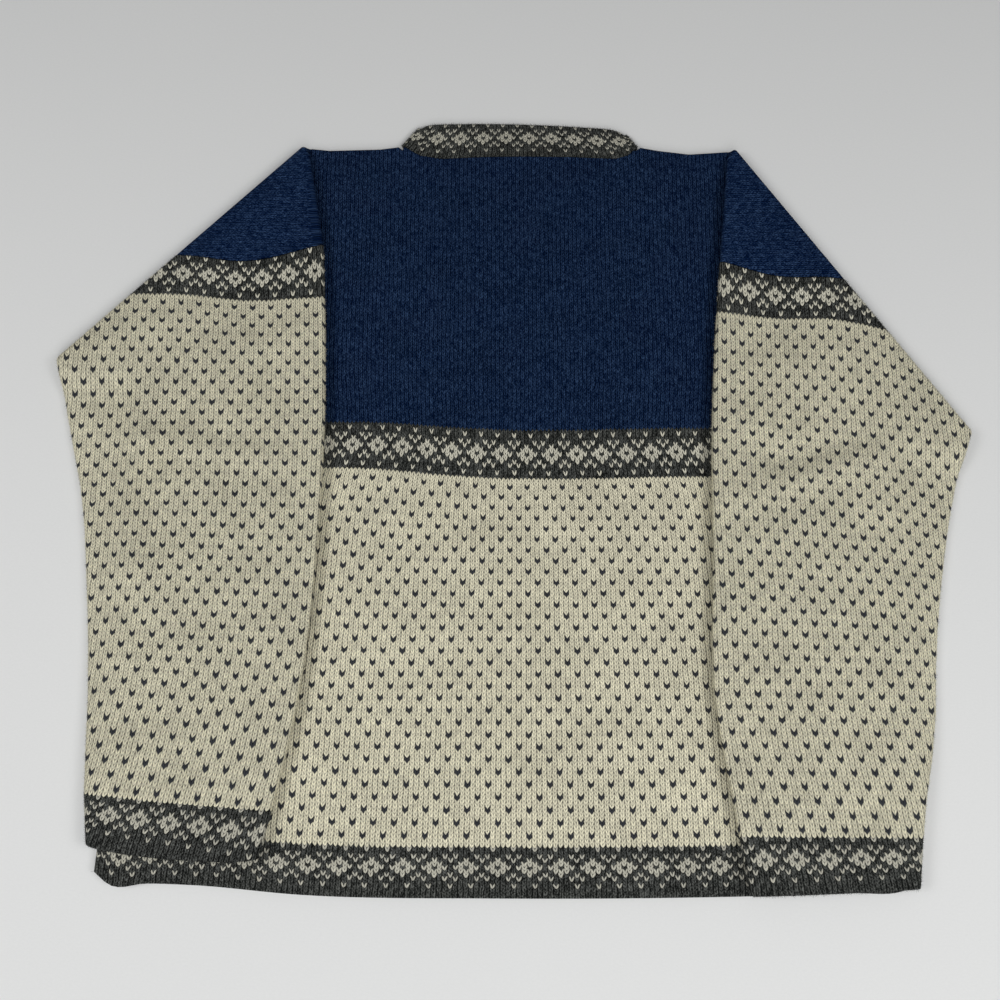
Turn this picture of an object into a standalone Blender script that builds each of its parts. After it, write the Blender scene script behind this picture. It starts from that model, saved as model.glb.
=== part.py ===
"""Quarter-zip sweater of stranded wool, laid flat on its front, with both sleeves folded over the back.

Metres, +Z up. +X runs across the back and +Y from the hem to the collar. The origin is on the floor,
under the middle of the box. Each cloth piece is a wall that is cut flat, with the shoulders and the
sleeves spread out, and is then turned over along its fold line, so that the layers stay in their order.
"""

import math

import bmesh
import bpy
import numpy as np
from mathutils import Matrix

# Cloth
WALL = 0.0029  # stranded wool, 4 mm to a stitch
GAP = 0.0003  # between pieces at seams, and between layers
ARMHOLE_GAP = 0.0006  # between a panel and the head of a sleeve, which narrows inside the fold
SLEEVE_WALL = 0.0028
EASE = 0.0009  # how far the rim of a panel rounds off
BACK_LOW = WALL + GAP
STACK = 2 * WALL + GAP  # front and back together, or a sleeve
FOLD_ROOM = 0.00025  # inside a fold, on each side of the middle
FOLD_Z = STACK + FOLD_ROOM  # height that a fold turns about
FOLD_RADIUS = FOLD_Z - STACK / 2  # of the middle of the stack, through the fold
FOLD_ARC = math.pi * FOLD_RADIUS
FOLD_STEPS = 8

# Rows of a panel: below the underarm, and along the armhole, which the sleeve's head shares
ROWS_BELOW = 6
ARMHOLE_PARTS = 8
STATIONS = 15  # rings of a sleeve
HEAD_STATIONS = 4  # over which the curve of its head fades out
SLIT_PARTS_UP = 2  # armhole parts between the underarm's row and the foot of the zip's slit

# Body, laid flat: height of the hem at each place across it, from the left corner to the right one
HEM = {
    "x": (-0.302, -0.287, -0.262, -0.228, -0.150, -0.010, 0.155, 0.250, 0.288, 0.302),
    "y": (-0.318, -0.329, -0.328, -0.329, -0.3355, -0.338, -0.337, -0.3345, -0.3325, -0.326),
}
HALF = 0.300  # nominal half width of the body, which the columns of a panel are given in
STRAIGHT = 0.130  # columns nearer the middle than this keep their place
COLUMNS_LEFT = (-0.289, -0.270, -0.245, -0.225)  # past the shoulder line's own places
COLUMNS_RIGHT = (0.228, 0.245, 0.270)
NECK_MIDDLE = 0.0125

# The folds and what they carry over, as they lie. "fold" is two points of the outer edge of the fold,
# "corner" is where the shoulder line meets the armhole's own edge, turned over, "armhole" runs on from
# there towards the fold, and "under" is the underarm.
# "inner" and "outer" are the two edges of the sleeve from the armhole to the cuff.
SIDES = {
    "left": {
        "fold": ((-0.2035, 0.2885), (-0.3710, 0.1060)),
        "corner": (-0.180, 0.2950),
        "armhole": ((-0.162, 0.200), (-0.228, 0.183), (-0.286, 0.189)),
        "under": (-0.297, 0.076),
        "inner": ((-0.162, 0.200), (-0.155, 0.106), (-0.151, 0.010), (-0.151, -0.060),
                  (-0.159, -0.197), (-0.175, -0.284), (-0.181, -0.310)),
        "outer": ((-0.383, 0.084), (-0.369, 0.033), (-0.348, -0.037), (-0.336, -0.103),
                  (-0.322, -0.197), (-0.314, -0.270), (-0.308, -0.300)),
    },
    "right": {
        "fold": ((0.2345, 0.2690), (0.3705, 0.0540)),
        "corner": (0.204, 0.2900),
        "armhole": ((0.190, 0.183), (0.239, 0.168), (0.292, 0.166)),
        "under": (0.309, 0.026),
        "inner": ((0.190, 0.183), (0.183, 0.110), (0.174, 0.020), (0.166, -0.090),
                  (0.159, -0.197), (0.167, -0.267), (0.176, -0.336)),
        "outer": ((0.384, 0.010), (0.370, -0.028), (0.353, -0.087), (0.337, -0.159),
                  (0.327, -0.220), (0.309, -0.280), (0.299, -0.331)),
    },
}
# Flat shoulder line between the neck and the fold, as x and y from the neck outwards
SHOULDER = {
    "left": {"x": (-0.0955, -0.0990, -0.116, -0.163, -0.189), "y": (0.3045, 0.308, 0.3055, 0.304, 0.307)},
    "right": {"x": (0.1220, 0.1260, 0.142, 0.171, 0.199), "y": (0.3045, 0.3075, 0.304, 0.300, 0.302)},
}

# Collar: each row is a section of its back half, from the left fold to the right one
COLLAR_BACK = {
    "base x": (-0.0940, -0.080, -0.060, -0.020, 0.0125, 0.060, 0.102, 0.1145, 0.1210),
    "base y": (0.3080, 0.2985, 0.2945, 0.2965, 0.2970, 0.2965, 0.2945, 0.2985, 0.3060),
    "top x": (-0.0790, -0.070, -0.052, -0.018, 0.0125, 0.054, 0.094, 0.1045, 0.1115),
    "top y": (0.3275, 0.3315, 0.3328, 0.3330, 0.3325, 0.3305, 0.3272, 0.3245, 0.3200),
}
FRONT_DROP = 0.068  # how much lower the neck is at the front
FRONT_TOP_DROP = 0.052  # the same, of the collar's upper edge
FRONT_SECTIONS = 7  # on each side of the zip
COLLAR_ROWS = (0.35, 0.70)  # shares of its height

# Drape: past the body's side and its own lower edge, a turned sleeve comes down to the floor
DRAPE_RUN = 0.030
DRAPE_START = 0.001
DRAPE_STEPS = 4

# Zip at the front, which faces the floor
SLIT_HALF = 0.0083
TAPE_LOW, TAPE_HIGH = 0.0021, 0.0027
TAPE_END = 0.001  # from the collar's upper edge down to the end of the tapes
CHAIN_HALF, CHAIN_LOW, CHAIN_HIGH = 0.0027, 0.0006, 0.0018
CHAIN_FOOT = 0.004  # from the foot of the slit up to the coil
SLIDER_LENGTH, SLIDER_HALF, SLIDER_NECK = 0.0095, 0.0042, 0.0030
SLIDER_WAIST = 0.6  # share of its length at which it reaches its full width
SLIDER_LOW, SLIDER_HIGH = 0.0012, 0.0018
SLIDER_END = 0.003  # from the end of the tapes down to the slider
LUG_HALF, LUG_LENGTH, LUG_LOW = 0.0010, 0.0040, 0.0001
PULL_LENGTH, PULL_HALF, PULL_THICK = 0.0200, 0.0032, 0.0006
PULL_SLOT_HALF, PULL_SLOT_LENGTH = 0.0013, 0.0060
PULL_CORNER = 0.002
PULL_AXIS_Z = 0.0006
PULL_AXIS_INSET = 0.0012  # from the upper end of the lug down to the axis

COLOURS = {
    "cream": (0.62, 0.58, 0.45, 1.0),
    "navy": (0.030, 0.070, 0.170, 1.0),
    "grey": (0.110, 0.115, 0.110, 1.0),
    "tape": (0.020, 0.030, 0.060, 1.0),
    "metal": (0.420, 0.400, 0.360, 1.0),
}


def material(name, roughness=0.95, metallic=0.0):
    """The Principled material of that name."""
    made = bpy.data.materials.get(name) or bpy.data.materials.new(name)
    made.use_nodes = True
    shader = made.node_tree.nodes["Principled BSDF"]
    shader.inputs["Base Color"].default_value = COLOURS[name]
    shader.inputs["Roughness"].default_value = roughness
    shader.inputs["Metallic"].default_value = metallic
    return made


def smooth(keys, values, at):
    """The smooth curve through a short table, read at any keys."""
    keys, values = np.asarray(keys, float), np.asarray(values, float)
    at = np.clip(np.asarray(at, float), keys[0], keys[-1])
    slope = np.gradient(values, keys, axis=0)
    i = np.clip(np.searchsorted(keys, at, side="right") - 1, 0, len(keys) - 2)
    step = keys[i + 1] - keys[i]
    t = (at - keys[i]) / step
    if values.ndim > 1:
        step, t = step[..., None], t[..., None]
    bend = t * (1 - t) * ((1 - t) * slope[i] - t * slope[i + 1]) * step
    ease = t * t * (3 - 2 * t)
    return values[i] * (1 - ease) + values[i + 1] * ease + bend


def along(points, count):
    """Evenly spaced points on the smooth curve through the points given."""
    points = np.asarray(points, float)
    keys = np.concatenate([[0], np.cumsum(np.linalg.norm(np.diff(points, axis=0), axis=1))])
    fine = smooth(keys, points, np.linspace(0, keys[-1], 40 * count))
    run = np.concatenate([[0], np.cumsum(np.linalg.norm(np.diff(fine, axis=0), axis=1))])
    even = np.linspace(0, run[-1], count)
    return np.stack([np.interp(even, run, fine[:, k]) for k in (0, 1)], axis=1)


def fold_line(side):
    """A point of the line where the fold starts, and the unit vector away from the body."""
    upper, lower = np.array(SIDES[side]["fold"])
    run = (lower - upper) / np.linalg.norm(lower - upper)
    out = np.array((run[1], -run[0])) if side == "left" else np.array((-run[1], run[0]))
    return upper - FOLD_Z * out, out


def unfold(side, points):
    """Where points of the turned part lie before it is turned."""
    points = np.asarray(points, float)
    start, out = fold_line(side)
    past = (points - start) @ out
    return points + (FOLD_ARC - 2 * past)[..., None] * out


def turn_over(side, points):
    """Points of the flat cloth, moved to where the fold puts them."""
    start, out = fold_line(side)
    past = (points[:, :2] - start) @ out
    angle = np.clip(past / FOLD_RADIUS, 0, math.pi)
    reach = FOLD_Z - points[:, 2]
    beyond = np.maximum(past - FOLD_ARC, 0)
    placed = np.minimum(past, 0) + reach * np.sin(angle) - beyond
    moved = points.copy()
    moved[:, :2] += (placed - past)[:, None] * out
    moved[:, 2] = FOLD_Z - reach * np.cos(angle)
    return moved


def armhole(side):
    """Points of the flat armhole, from the tip of the shoulder to the underarm."""
    lay = SIDES[side]
    return along([*unfold(side, lay["armhole"]), lay["under"]], ARMHOLE_PARTS + 1)


def body_side(side, y):
    """x of the body's side below the armhole."""
    end = 0 if side == "left" else -1
    ux, uy = SIDES[side]["under"]
    return HEM["x"][end] + (ux - HEM["x"][end]) * (y - HEM["y"][end]) / (uy - HEM["y"][end])


def drape_edges(side):
    """The underarm, and the unit vectors off the body's side and off the sleeve's lower edge."""
    under, sign = np.array(SIDES[side]["under"]), -1 if side == "left" else 1
    hem = np.array((body_side(side, HEM["y"][0]), HEM["y"][0]))
    outs = []
    for run in (hem - under, under - SIDES[side]["outer"][0]):
        outs.append(sign * np.array((-run[1], run[0])) / np.linalg.norm(run))
    return under, outs


def side_points(side):
    """Points of a panel's side edge in each row, from the hem to the tip of the shoulder."""
    end = 0 if side == "left" else -1
    foot = HEM["y"][end]
    heights = foot + (SIDES[side]["under"][1] - foot) * np.linspace(0, 1, ROWS_BELOW + 1)[:-1]
    heights = np.insert(heights, 1, foot + EASE)
    below = np.stack([body_side(side, heights), heights], axis=1)
    above = armhole(side)[::-1]
    last = above[-1] - above[-2]
    rim = above[-1] - last * EASE / np.linalg.norm(last)
    return np.vstack([below, above[:-1], rim, above[-1]])


def cut(mesh, point, normal):
    """Adds the edges where an upright plane crosses the mesh."""
    everything = mesh.verts[:] + mesh.edges[:] + mesh.faces[:]
    bmesh.ops.bisect_plane(
        mesh, geom=everything, dist=2e-5, plane_co=(*point, 0), plane_no=(*normal, 0)
    )


def move(mesh, change):
    """Moves every point of the mesh by a function of all of them."""
    for vertex, place in zip(mesh.verts, change(np.array([v.co for v in mesh.verts]))):
        vertex.co = place


def fold_over(mesh, side):
    """Turns over what lies past one fold line."""
    start, out = fold_line(side)
    for step in range(FOLD_STEPS + 1):
        cut(mesh, start + out * FOLD_ARC * step / FOLD_STEPS, out)
    move(mesh, lambda points: turn_over(side, points))


def finish(mesh, name, look):
    """Makes the mesh a smooth-shaded object with one material."""
    bmesh.ops.triangulate(mesh, faces=mesh.faces[:])
    data = bpy.data.meshes.new(name)
    mesh.to_mesh(data)
    mesh.free()
    data.shade_smooth()
    data.set_sharp_from_angle(angle=math.radians(40))
    data.materials.append(look)
    made = bpy.data.objects.new(name, data)
    bpy.context.scene.collection.objects.link(made)
    return made


def grid_wall(plan, keep, low, high):
    """A closed wall over the kept cells of a plan grid, with its rim rounded off by EASE."""
    rows, columns = keep.shape
    padded = np.pad(keep, 1)
    corners = (padded[:-1, :-1], padded[1:, :-1], padded[:-1, 1:], padded[1:, 1:])
    used, inside = np.logical_or.reduce(corners), np.logical_and.reduce(corners)
    mesh = bmesh.new()
    below, above = {}, {}
    for i, j in np.argwhere(used):
        rim = 0 if inside[i, j] else EASE
        below[i, j] = mesh.verts.new((*plan[i, j], low + rim))
        above[i, j] = mesh.verts.new((*plan[i, j], high - rim))
    for i in range(rows):
        for j in range(columns):
            if not keep[i, j]:
                continue
            ring = ((i, j), (i, j + 1), (i + 1, j + 1), (i + 1, j))
            mesh.faces.new([above[k] for k in ring])
            mesh.faces.new([below[k] for k in reversed(ring)])
            neighbours = (padded[i, j + 1], padded[i + 1, j + 2], padded[i + 2, j + 1], padded[i + 1, j])
            for a, b, covered in zip(ring, ring[1:] + ring[:1], neighbours):
                if not covered:
                    mesh.faces.new((below[a], below[b], above[b], above[a]))
    return mesh


def loft(rings, inner=None):
    """Closed rings joined in order, with caps at both ends, or round a hollow with the inner rings."""
    mesh = bmesh.new()
    shells = [[[mesh.verts.new(p) for p in ring] for ring in shell] for shell in (rings, inner) if shell]

    def strip(one, other):
        for k in range(len(one)):
            n = (k + 1) % len(one)
            mesh.faces.new((one[k], one[n], other[n], other[k]))

    for shell in shells:
        for one, other in zip(shell, shell[1:]):
            strip(*((one, other) if shell is shells[0] else (other, one)))
    if inner:
        strip(shells[1][0], shells[0][0])
        strip(shells[0][-1], shells[1][-1])
    else:
        mesh.faces.new(shells[0][0][::-1])
        mesh.faces.new(shells[0][-1])
    bmesh.ops.recalc_face_normals(mesh, faces=mesh.faces[:])
    return mesh


def body_columns(neck):
    """Nominal x of a panel's columns: those at the neck, the shoulders, the sides and their rims."""
    left, right = shoulder_line()
    left = (-HALF, EASE - HALF, *COLUMNS_LEFT, *left[1:, 0])
    right = (*right[:-1, 0], *COLUMNS_RIGHT, HALF - EASE, HALF)
    return np.array([*left, *neck, *right])


def shoulder_line():
    """Nominal x and flat y of the top edge outside the neck, from the left armhole to the right one."""
    lines = {}
    for side, lay in SIDES.items():
        tip, corner = unfold(side, [lay["armhole"][0], lay["corner"]])
        line = np.array([*zip(*(SHOULDER[side][k] for k in "xy")), corner, tip])
        spread = (HALF - STRAIGHT) / (abs(tip[0]) - STRAIGHT)
        past = np.maximum(np.abs(line[:, 0]) - STRAIGHT, 0)
        line[:, 0] += np.sign(line[:, 0]) * past * (spread - 1)
        lines[side] = line
    return lines["left"][::-1], lines["right"]


def panel(neck_x, neck_y):
    """Plan grid of a body panel, from the hem up to the shoulders and the neck edge."""
    columns = body_columns(neck_x)
    left, right = shoulder_line()
    top_x = np.concatenate([left[:, 0], neck_x, right[:, 0]])
    top_y = np.concatenate([left[:, 1], neck_y, right[:, 1]])
    top = np.interp(columns, top_x, top_y)
    hem = smooth(HEM["x"], HEM["y"], columns)
    edges = {side: side_points(side) for side in SIDES}
    shares = [(e[:, 1] - e[0, 1]) / (e[-1, 1] - e[0, 1]) for e in edges.values()]
    across = (columns + HALF) / (2 * HALF)
    shares = shares[0][:, None] * (1 - across) + shares[1][:, None] * across
    out = np.maximum(np.abs(columns) - STRAIGHT, 0) / (HALF - STRAIGHT)
    edge = np.where(columns < 0, edges["left"][:, :1], edges["right"][:, :1])
    straight = np.clip(columns, -STRAIGHT, STRAIGHT)
    x = straight + out * (edge - np.sign(columns) * STRAIGHT)
    return np.stack([x, hem + (top - hem) * shares], axis=2)


def front_neck():
    """Places of the front collar's sections, as base and top points, from the left fold to the right."""
    back = {k: (v[0], v[-1]) for k, v in COLLAR_BACK.items()}
    halves = {}
    for name, drop in (("base", FRONT_DROP), ("top", FRONT_TOP_DROP)):
        (x0, x1), (y0, y1) = back[name + " x"], back[name + " y"]
        left = x0 + (NECK_MIDDLE - SLIT_HALF - x0) * np.linspace(0, 1, FRONT_SECTIONS)
        right = NECK_MIDDLE + SLIT_HALF + (x1 - NECK_MIDDLE - SLIT_HALF) * np.linspace(0, 1, FRONT_SECTIONS)
        x = np.concatenate([left, right])
        across = (x - x0) / (x1 - x0)
        y = y0 + (y1 - y0) * across - drop * (1 - (2 * across - 1) ** 2)
        halves[name] = np.stack([x, y], axis=1)
    return halves


def make_back():
    neck_x, base = np.array(COLLAR_BACK["base x"]), np.array(COLLAR_BACK["base y"])
    plan = panel(neck_x, base - GAP * np.hypot(1, np.gradient(base, neck_x)))
    mesh = grid_wall(plan, np.ones(np.subtract(plan.shape[:2], 1), bool), BACK_LOW, STACK)
    for side in SIDES:
        fold_over(mesh, side)
    return finish(mesh, "back", material("navy"))


def front_plan():
    """Plan grid of the front, and the row and column where the slit for the zip starts."""
    base = front_neck()["base"]
    steep = np.hypot(1, np.gradient(base[:, 1], base[:, 0]))
    plan = panel(base[:, 0], base[:, 1] - GAP * steep)
    row = ROWS_BELOW + 1 + SLIT_PARTS_UP
    column = int(np.argmin(np.abs(plan[row, :, 0] - (NECK_MIDDLE - SLIT_HALF))))
    return plan, row, column


def make_front():
    plan, row, column = front_plan()
    keep = np.ones(np.subtract(plan.shape[:2], 1), bool)
    keep[row:, column] = False
    mesh = grid_wall(plan, keep, 0.0, WALL)
    for side in SIDES:
        fold_over(mesh, side)
    return finish(mesh, "front", material("navy"))


def sleeve_rings(place, wide):
    """The outer and inner ring of a flat tube, given the plan point at each share of its width."""
    middle, radius = STACK / 2, STACK / 2
    turns = np.radians((0, 45, 90))
    flat = np.arange(1, ARMHOLE_PARTS) / ARMHOLE_PARTS
    rings = []
    for size in (radius, radius - SLEEVE_WALL):
        edge = [((radius - size * math.cos(t)) / wide, size * math.sin(t)) for t in turns]
        half = edge + [(s, size) for s in flat] + [(1 - s, z) for s, z in reversed(edge)]
        loop = [(s, middle - z) for s, z in half] + [(s, middle + z) for s, z in reversed(half[1:-1])]
        rings.append([(*place(s), z) for s, z in loop])
    return rings


def drape(side, points):
    """Brings down what lies off the body and off the sleeve's own lower part."""
    under, outs = drape_edges(side)
    eased = (points[:, 2] > FOLD_Z).astype(float)
    for out in outs:
        share = np.clip(((points[:, :2] - under) @ out - DRAPE_START) / DRAPE_RUN, 0, 1)
        eased *= share * share * (3 - 2 * share)
    moved = points.copy()
    moved[:, 2] -= (2 * FOLD_Z - STACK) * eased
    return moved


def make_sleeve(side):
    lay, sign = SIDES[side], -1 if side == "left" else 1
    head = armhole(side) + (sign * ARMHOLE_GAP, 0)
    inner = along(unfold(side, lay["inner"]), STATIONS)
    outer = along(np.vstack([lay["under"], unfold(side, lay["outer"])]), STATIONS)
    parts = np.linspace(0, 1, ARMHOLE_PARTS + 1)[:, None]
    bulge = head - (head[0] + (head[-1] - head[0]) * parts)
    pairs = []
    for station, (a, b) in enumerate(zip(inner, outer)):
        fade = max(0, 1 - station / HEAD_STATIONS) ** 2
        line = a + (b - a) * parts + bulge * fade + (sign * ARMHOLE_GAP * fade, 0)

        def place(share, line=line):
            return [np.interp(share, parts[:, 0], line[:, k]) for k in (0, 1)]

        pairs.append(sleeve_rings(place, np.linalg.norm(b - a)))
    mesh = loft([p[0] for p in pairs], [p[1] for p in pairs])
    fold_over(mesh, side)
    under, outs = drape_edges(side)
    for out in outs:
        for step in range(DRAPE_STEPS + 1):
            cut(mesh, under + out * (DRAPE_START + DRAPE_RUN * step / DRAPE_STEPS), out)
    bmesh.ops.triangulate(mesh, faces=mesh.faces[:])
    move(mesh, lambda points: drape(side, points))
    return finish(mesh, "sleeve_" + side, material("cream"))


def collar_section(base, top, angle, out):
    """A closed loop round the collar's wall, from its base to its top, turned by an angle at a side fold."""
    turn_z = STACK / 2
    rim = EASE / np.linalg.norm(top - base)
    shares = (0, rim, *COLLAR_ROWS, 1 - rim, 1)
    loop = []
    for face, inward, order in ((0, EASE, 1), (WALL, -EASE, -1)):
        for share in shares[::order]:
            radius = turn_z - face - (inward if share in (0, 1) else 0)
            place = base + (top - base) * share + out * radius * math.sin(angle)
            loop.append((*place, turn_z - radius * math.cos(angle)))
    return loop


def make_collar():
    front = front_neck()
    back = {k: np.stack([COLLAR_BACK[k + " x"], COLLAR_BACK[k + " y"]], axis=1) for k in ("base", "top")}
    ends = {}
    for side, k in (("left", 0), ("right", -1)):
        run = back["top"][k] - back["base"][k]
        out = np.array((-run[1], run[0])) if side == "left" else np.array((run[1], -run[0]))
        ends[side] = out / np.linalg.norm(out)
    flat = np.zeros(2)
    turns = [math.pi * t / FOLD_STEPS for t in range(1, FOLD_STEPS)]
    sections = []
    for k in range(FRONT_SECTIONS, 2 * FRONT_SECTIONS):
        sections.append((front["base"][k], front["top"][k], 0, flat))
    sections += [(back["base"][-1], back["top"][-1], t, ends["right"]) for t in turns]
    for k in range(len(back["base"]))[::-1]:
        sections.append((back["base"][k], back["top"][k], math.pi, flat))
    sections += [(back["base"][0], back["top"][0], t, ends["left"]) for t in reversed(turns)]
    for k in range(FRONT_SECTIONS):
        sections.append((front["base"][k], front["top"][k], 0, flat))
    mesh = loft([collar_section(*section) for section in sections])
    return finish(mesh, "collar", material("grey"))


def slab(outline, low, high):
    """A plan outline, anticlockwise, raised into a slab."""
    mesh = bmesh.new()
    face = mesh.faces.new([mesh.verts.new((x, y, low)) for x, y in outline])
    grown = bmesh.ops.extrude_face_region(mesh, geom=[face])["geom"]
    raised = [part for part in grown if isinstance(part, bmesh.types.BMVert)]
    bmesh.ops.translate(mesh, verts=raised, vec=(0, 0, high - low))
    bmesh.ops.recalc_face_normals(mesh, faces=mesh.faces[:])
    return mesh


def box_outline(x0, x1, y0, y1):
    return [(x0, y0), (x1, y0), (x1, y1), (x0, y1)]


def zip_foot():
    """y of the foot of the slit."""
    plan, row, column = front_plan()
    return float(plan[row, column : column + 2, 1].max())


def zip_top():
    """y of the top end of the tapes, at the upper edge of the front collar."""
    return float(front_neck()["top"][FRONT_SECTIONS, 1]) - TAPE_END


def make_tapes():
    for side, sign in (("left", -1), ("right", 1)):
        x = sorted((NECK_MIDDLE + sign * GAP / 2, NECK_MIDDLE + sign * (SLIT_HALF - GAP)))
        outline = box_outline(*x, zip_foot() + GAP, zip_top())
        finish(slab(outline, TAPE_LOW, TAPE_HIGH), "zip_tape_" + side, material("tape"))


def make_chain():
    left, right = NECK_MIDDLE - CHAIN_HALF, NECK_MIDDLE + CHAIN_HALF
    outline = box_outline(left, right, zip_foot() + CHAIN_FOOT, slider_foot() - GAP)
    finish(slab(outline, CHAIN_LOW, CHAIN_HIGH), "zip_chain", material("tape"))


def slider_foot():
    return zip_top() - SLIDER_END - SLIDER_LENGTH


def pull_axis_y():
    return slider_foot() + SLIDER_LENGTH / 2 + LUG_LENGTH / 2 - PULL_AXIS_INSET


def make_slider():
    """A shield-shaped plate with the lug that the pull tab's fork is hung on."""
    x, y = NECK_MIDDLE, slider_foot()
    waist, head = y + SLIDER_WAIST * SLIDER_LENGTH, y + SLIDER_LENGTH
    outline = [
        (x - SLIDER_NECK, y), (x + SLIDER_NECK, y), (x + SLIDER_HALF, waist),
        (x + SLIDER_HALF, head), (x - SLIDER_HALF, head), (x - SLIDER_HALF, waist),
    ]
    plate = finish(slab(outline, SLIDER_LOW, SLIDER_HIGH), "zip_slider", material("metal", 0.35, 1.0))
    middle = y + SLIDER_LENGTH / 2
    lug_outline = box_outline(x - LUG_HALF, x + LUG_HALF, middle - LUG_LENGTH / 2, middle + LUG_LENGTH / 2)
    overlap = (SLIDER_LOW + SLIDER_HIGH) / 2
    lug = finish(slab(lug_outline, LUG_LOW, overlap), "lug", material("metal", 0.35, 1.0))
    lug.hide_render, lug.display_type = True, "WIRE"
    union = plate.modifiers.new("lug", "BOOLEAN")
    union.operation, union.object = "UNION", lug


def make_pull():
    """The tab, turned up past the collar's edge, with a fork round the slider's lug."""
    x, y = NECK_MIDDLE, pull_axis_y()
    foot, head = y - PULL_THICK / 2, y + PULL_LENGTH
    slot = y + PULL_SLOT_LENGTH
    outline = [
        (x - PULL_SLOT_HALF, foot), (x - PULL_SLOT_HALF, slot), (x + PULL_SLOT_HALF, slot),
        (x + PULL_SLOT_HALF, foot), (x + PULL_HALF, foot), (x + PULL_HALF, head - PULL_CORNER),
        (x + PULL_HALF - PULL_CORNER, head), (x - PULL_HALF + PULL_CORNER, head),
        (x - PULL_HALF, head - PULL_CORNER), (x - PULL_HALF, foot),
    ]
    low = PULL_AXIS_Z - PULL_THICK / 2
    finish(slab(outline[::-1], low, low + PULL_THICK), "zip_pull", material("metal", 0.35, 1.0))


def centre():
    """Moves everything so that the origin is under the middle of the box."""
    places = np.array([v.co for made in bpy.data.objects for v in made.data.vertices])
    middle = (places.min(axis=0) + places.max(axis=0)) / 2
    for made in bpy.data.objects:
        made.data.transform(Matrix.Translation((-middle[0], -middle[1], 0)))


def main():
    for old in list(bpy.data.objects):
        bpy.data.objects.remove(old)
    make_front()
    make_back()
    for side in SIDES:
        make_sleeve(side)
    make_collar()
    make_tapes()
    make_chain()
    make_slider()
    make_pull()
    centre()


main()
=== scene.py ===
"""Looks of the quarter-zip sweater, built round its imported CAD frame.

Every cloth piece is a fine shell on its solid's form. It is made flat, like the solid, from the same
measures, carries its stitches as a UV map in whole stitches and rows, and is then folded over.
Metres, +Z up. The lay's measures are given from a point near the middle of the back, LAY_CENTRE.
"""

import math

import bmesh
import bpy
import numpy as np
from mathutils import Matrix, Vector
from mathutils.bvhtree import BVHTree


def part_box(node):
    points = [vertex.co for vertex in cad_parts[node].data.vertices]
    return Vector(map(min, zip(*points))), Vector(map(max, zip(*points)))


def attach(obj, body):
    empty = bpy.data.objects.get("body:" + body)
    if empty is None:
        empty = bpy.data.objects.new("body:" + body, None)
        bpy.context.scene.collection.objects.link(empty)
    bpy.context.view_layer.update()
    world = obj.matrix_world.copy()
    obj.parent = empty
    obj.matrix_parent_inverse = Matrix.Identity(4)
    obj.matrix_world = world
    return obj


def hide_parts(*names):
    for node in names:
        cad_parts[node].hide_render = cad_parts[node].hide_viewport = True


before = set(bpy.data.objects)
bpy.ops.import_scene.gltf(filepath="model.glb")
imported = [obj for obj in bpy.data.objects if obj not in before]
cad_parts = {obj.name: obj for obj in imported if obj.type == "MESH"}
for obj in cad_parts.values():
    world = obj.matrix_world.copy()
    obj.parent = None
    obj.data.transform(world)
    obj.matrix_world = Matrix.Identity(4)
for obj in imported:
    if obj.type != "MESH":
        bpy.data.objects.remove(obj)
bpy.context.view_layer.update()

# --- Measures of the lay -------------------------------------------------------------------------

WALL, GAP, ARMHOLE_GAP, SLEEVE_WALL = 0.0029, 0.0003, 0.0006, 0.0028
BACK_LOW = WALL + GAP
STACK = 2 * WALL + GAP
FOLD_Z = STACK + 0.00025
FOLD_RADIUS = FOLD_Z - STACK / 2
FOLD_ARC = math.pi * FOLD_RADIUS
FOLD_STEPS = 10
HEM = {
    "x": (-0.302, -0.287, -0.262, -0.228, -0.150, -0.010, 0.155, 0.250, 0.288, 0.302),
    "y": (-0.318, -0.329, -0.328, -0.329, -0.3355, -0.338, -0.337, -0.3345, -0.3325, -0.326),
}
HALF, STRAIGHT, NECK_MIDDLE, SLIT_HALF = 0.300, 0.130, 0.0125, 0.0083
SIDES = {
    "left": {
        "fold": ((-0.2035, 0.2885), (-0.3710, 0.1060)),
        "corner": (-0.180, 0.2950),
        "armhole": ((-0.162, 0.200), (-0.228, 0.183), (-0.286, 0.189)),
        "under": (-0.297, 0.076),
        "inner": ((-0.162, 0.200), (-0.155, 0.106), (-0.151, 0.010), (-0.151, -0.060),
                  (-0.159, -0.197), (-0.175, -0.284), (-0.181, -0.310)),
        "outer": ((-0.383, 0.084), (-0.369, 0.033), (-0.348, -0.037), (-0.336, -0.103),
                  (-0.322, -0.197), (-0.314, -0.270), (-0.308, -0.300)),
    },
    "right": {
        "fold": ((0.2345, 0.2690), (0.3705, 0.0540)),
        "corner": (0.204, 0.2900),
        "armhole": ((0.190, 0.183), (0.239, 0.168), (0.292, 0.166)),
        "under": (0.309, 0.026),
        "inner": ((0.190, 0.183), (0.1808, 0.110), (0.1718, 0.020), (0.1652, -0.090),
                  (0.159, -0.197), (0.167, -0.267), (0.176, -0.336)),
        "outer": ((0.384, 0.010), (0.370, -0.028), (0.353, -0.087), (0.337, -0.159),
                  (0.327, -0.220), (0.309, -0.280), (0.299, -0.331)),
    },
}
SHOULDER = {
    "left": {"x": (-0.0955, -0.0990, -0.116, -0.163, -0.189), "y": (0.3045, 0.308, 0.3055, 0.304, 0.307)},
    "right": {"x": (0.1220, 0.1260, 0.142, 0.171, 0.199), "y": (0.3045, 0.3075, 0.304, 0.300, 0.302)},
}
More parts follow.
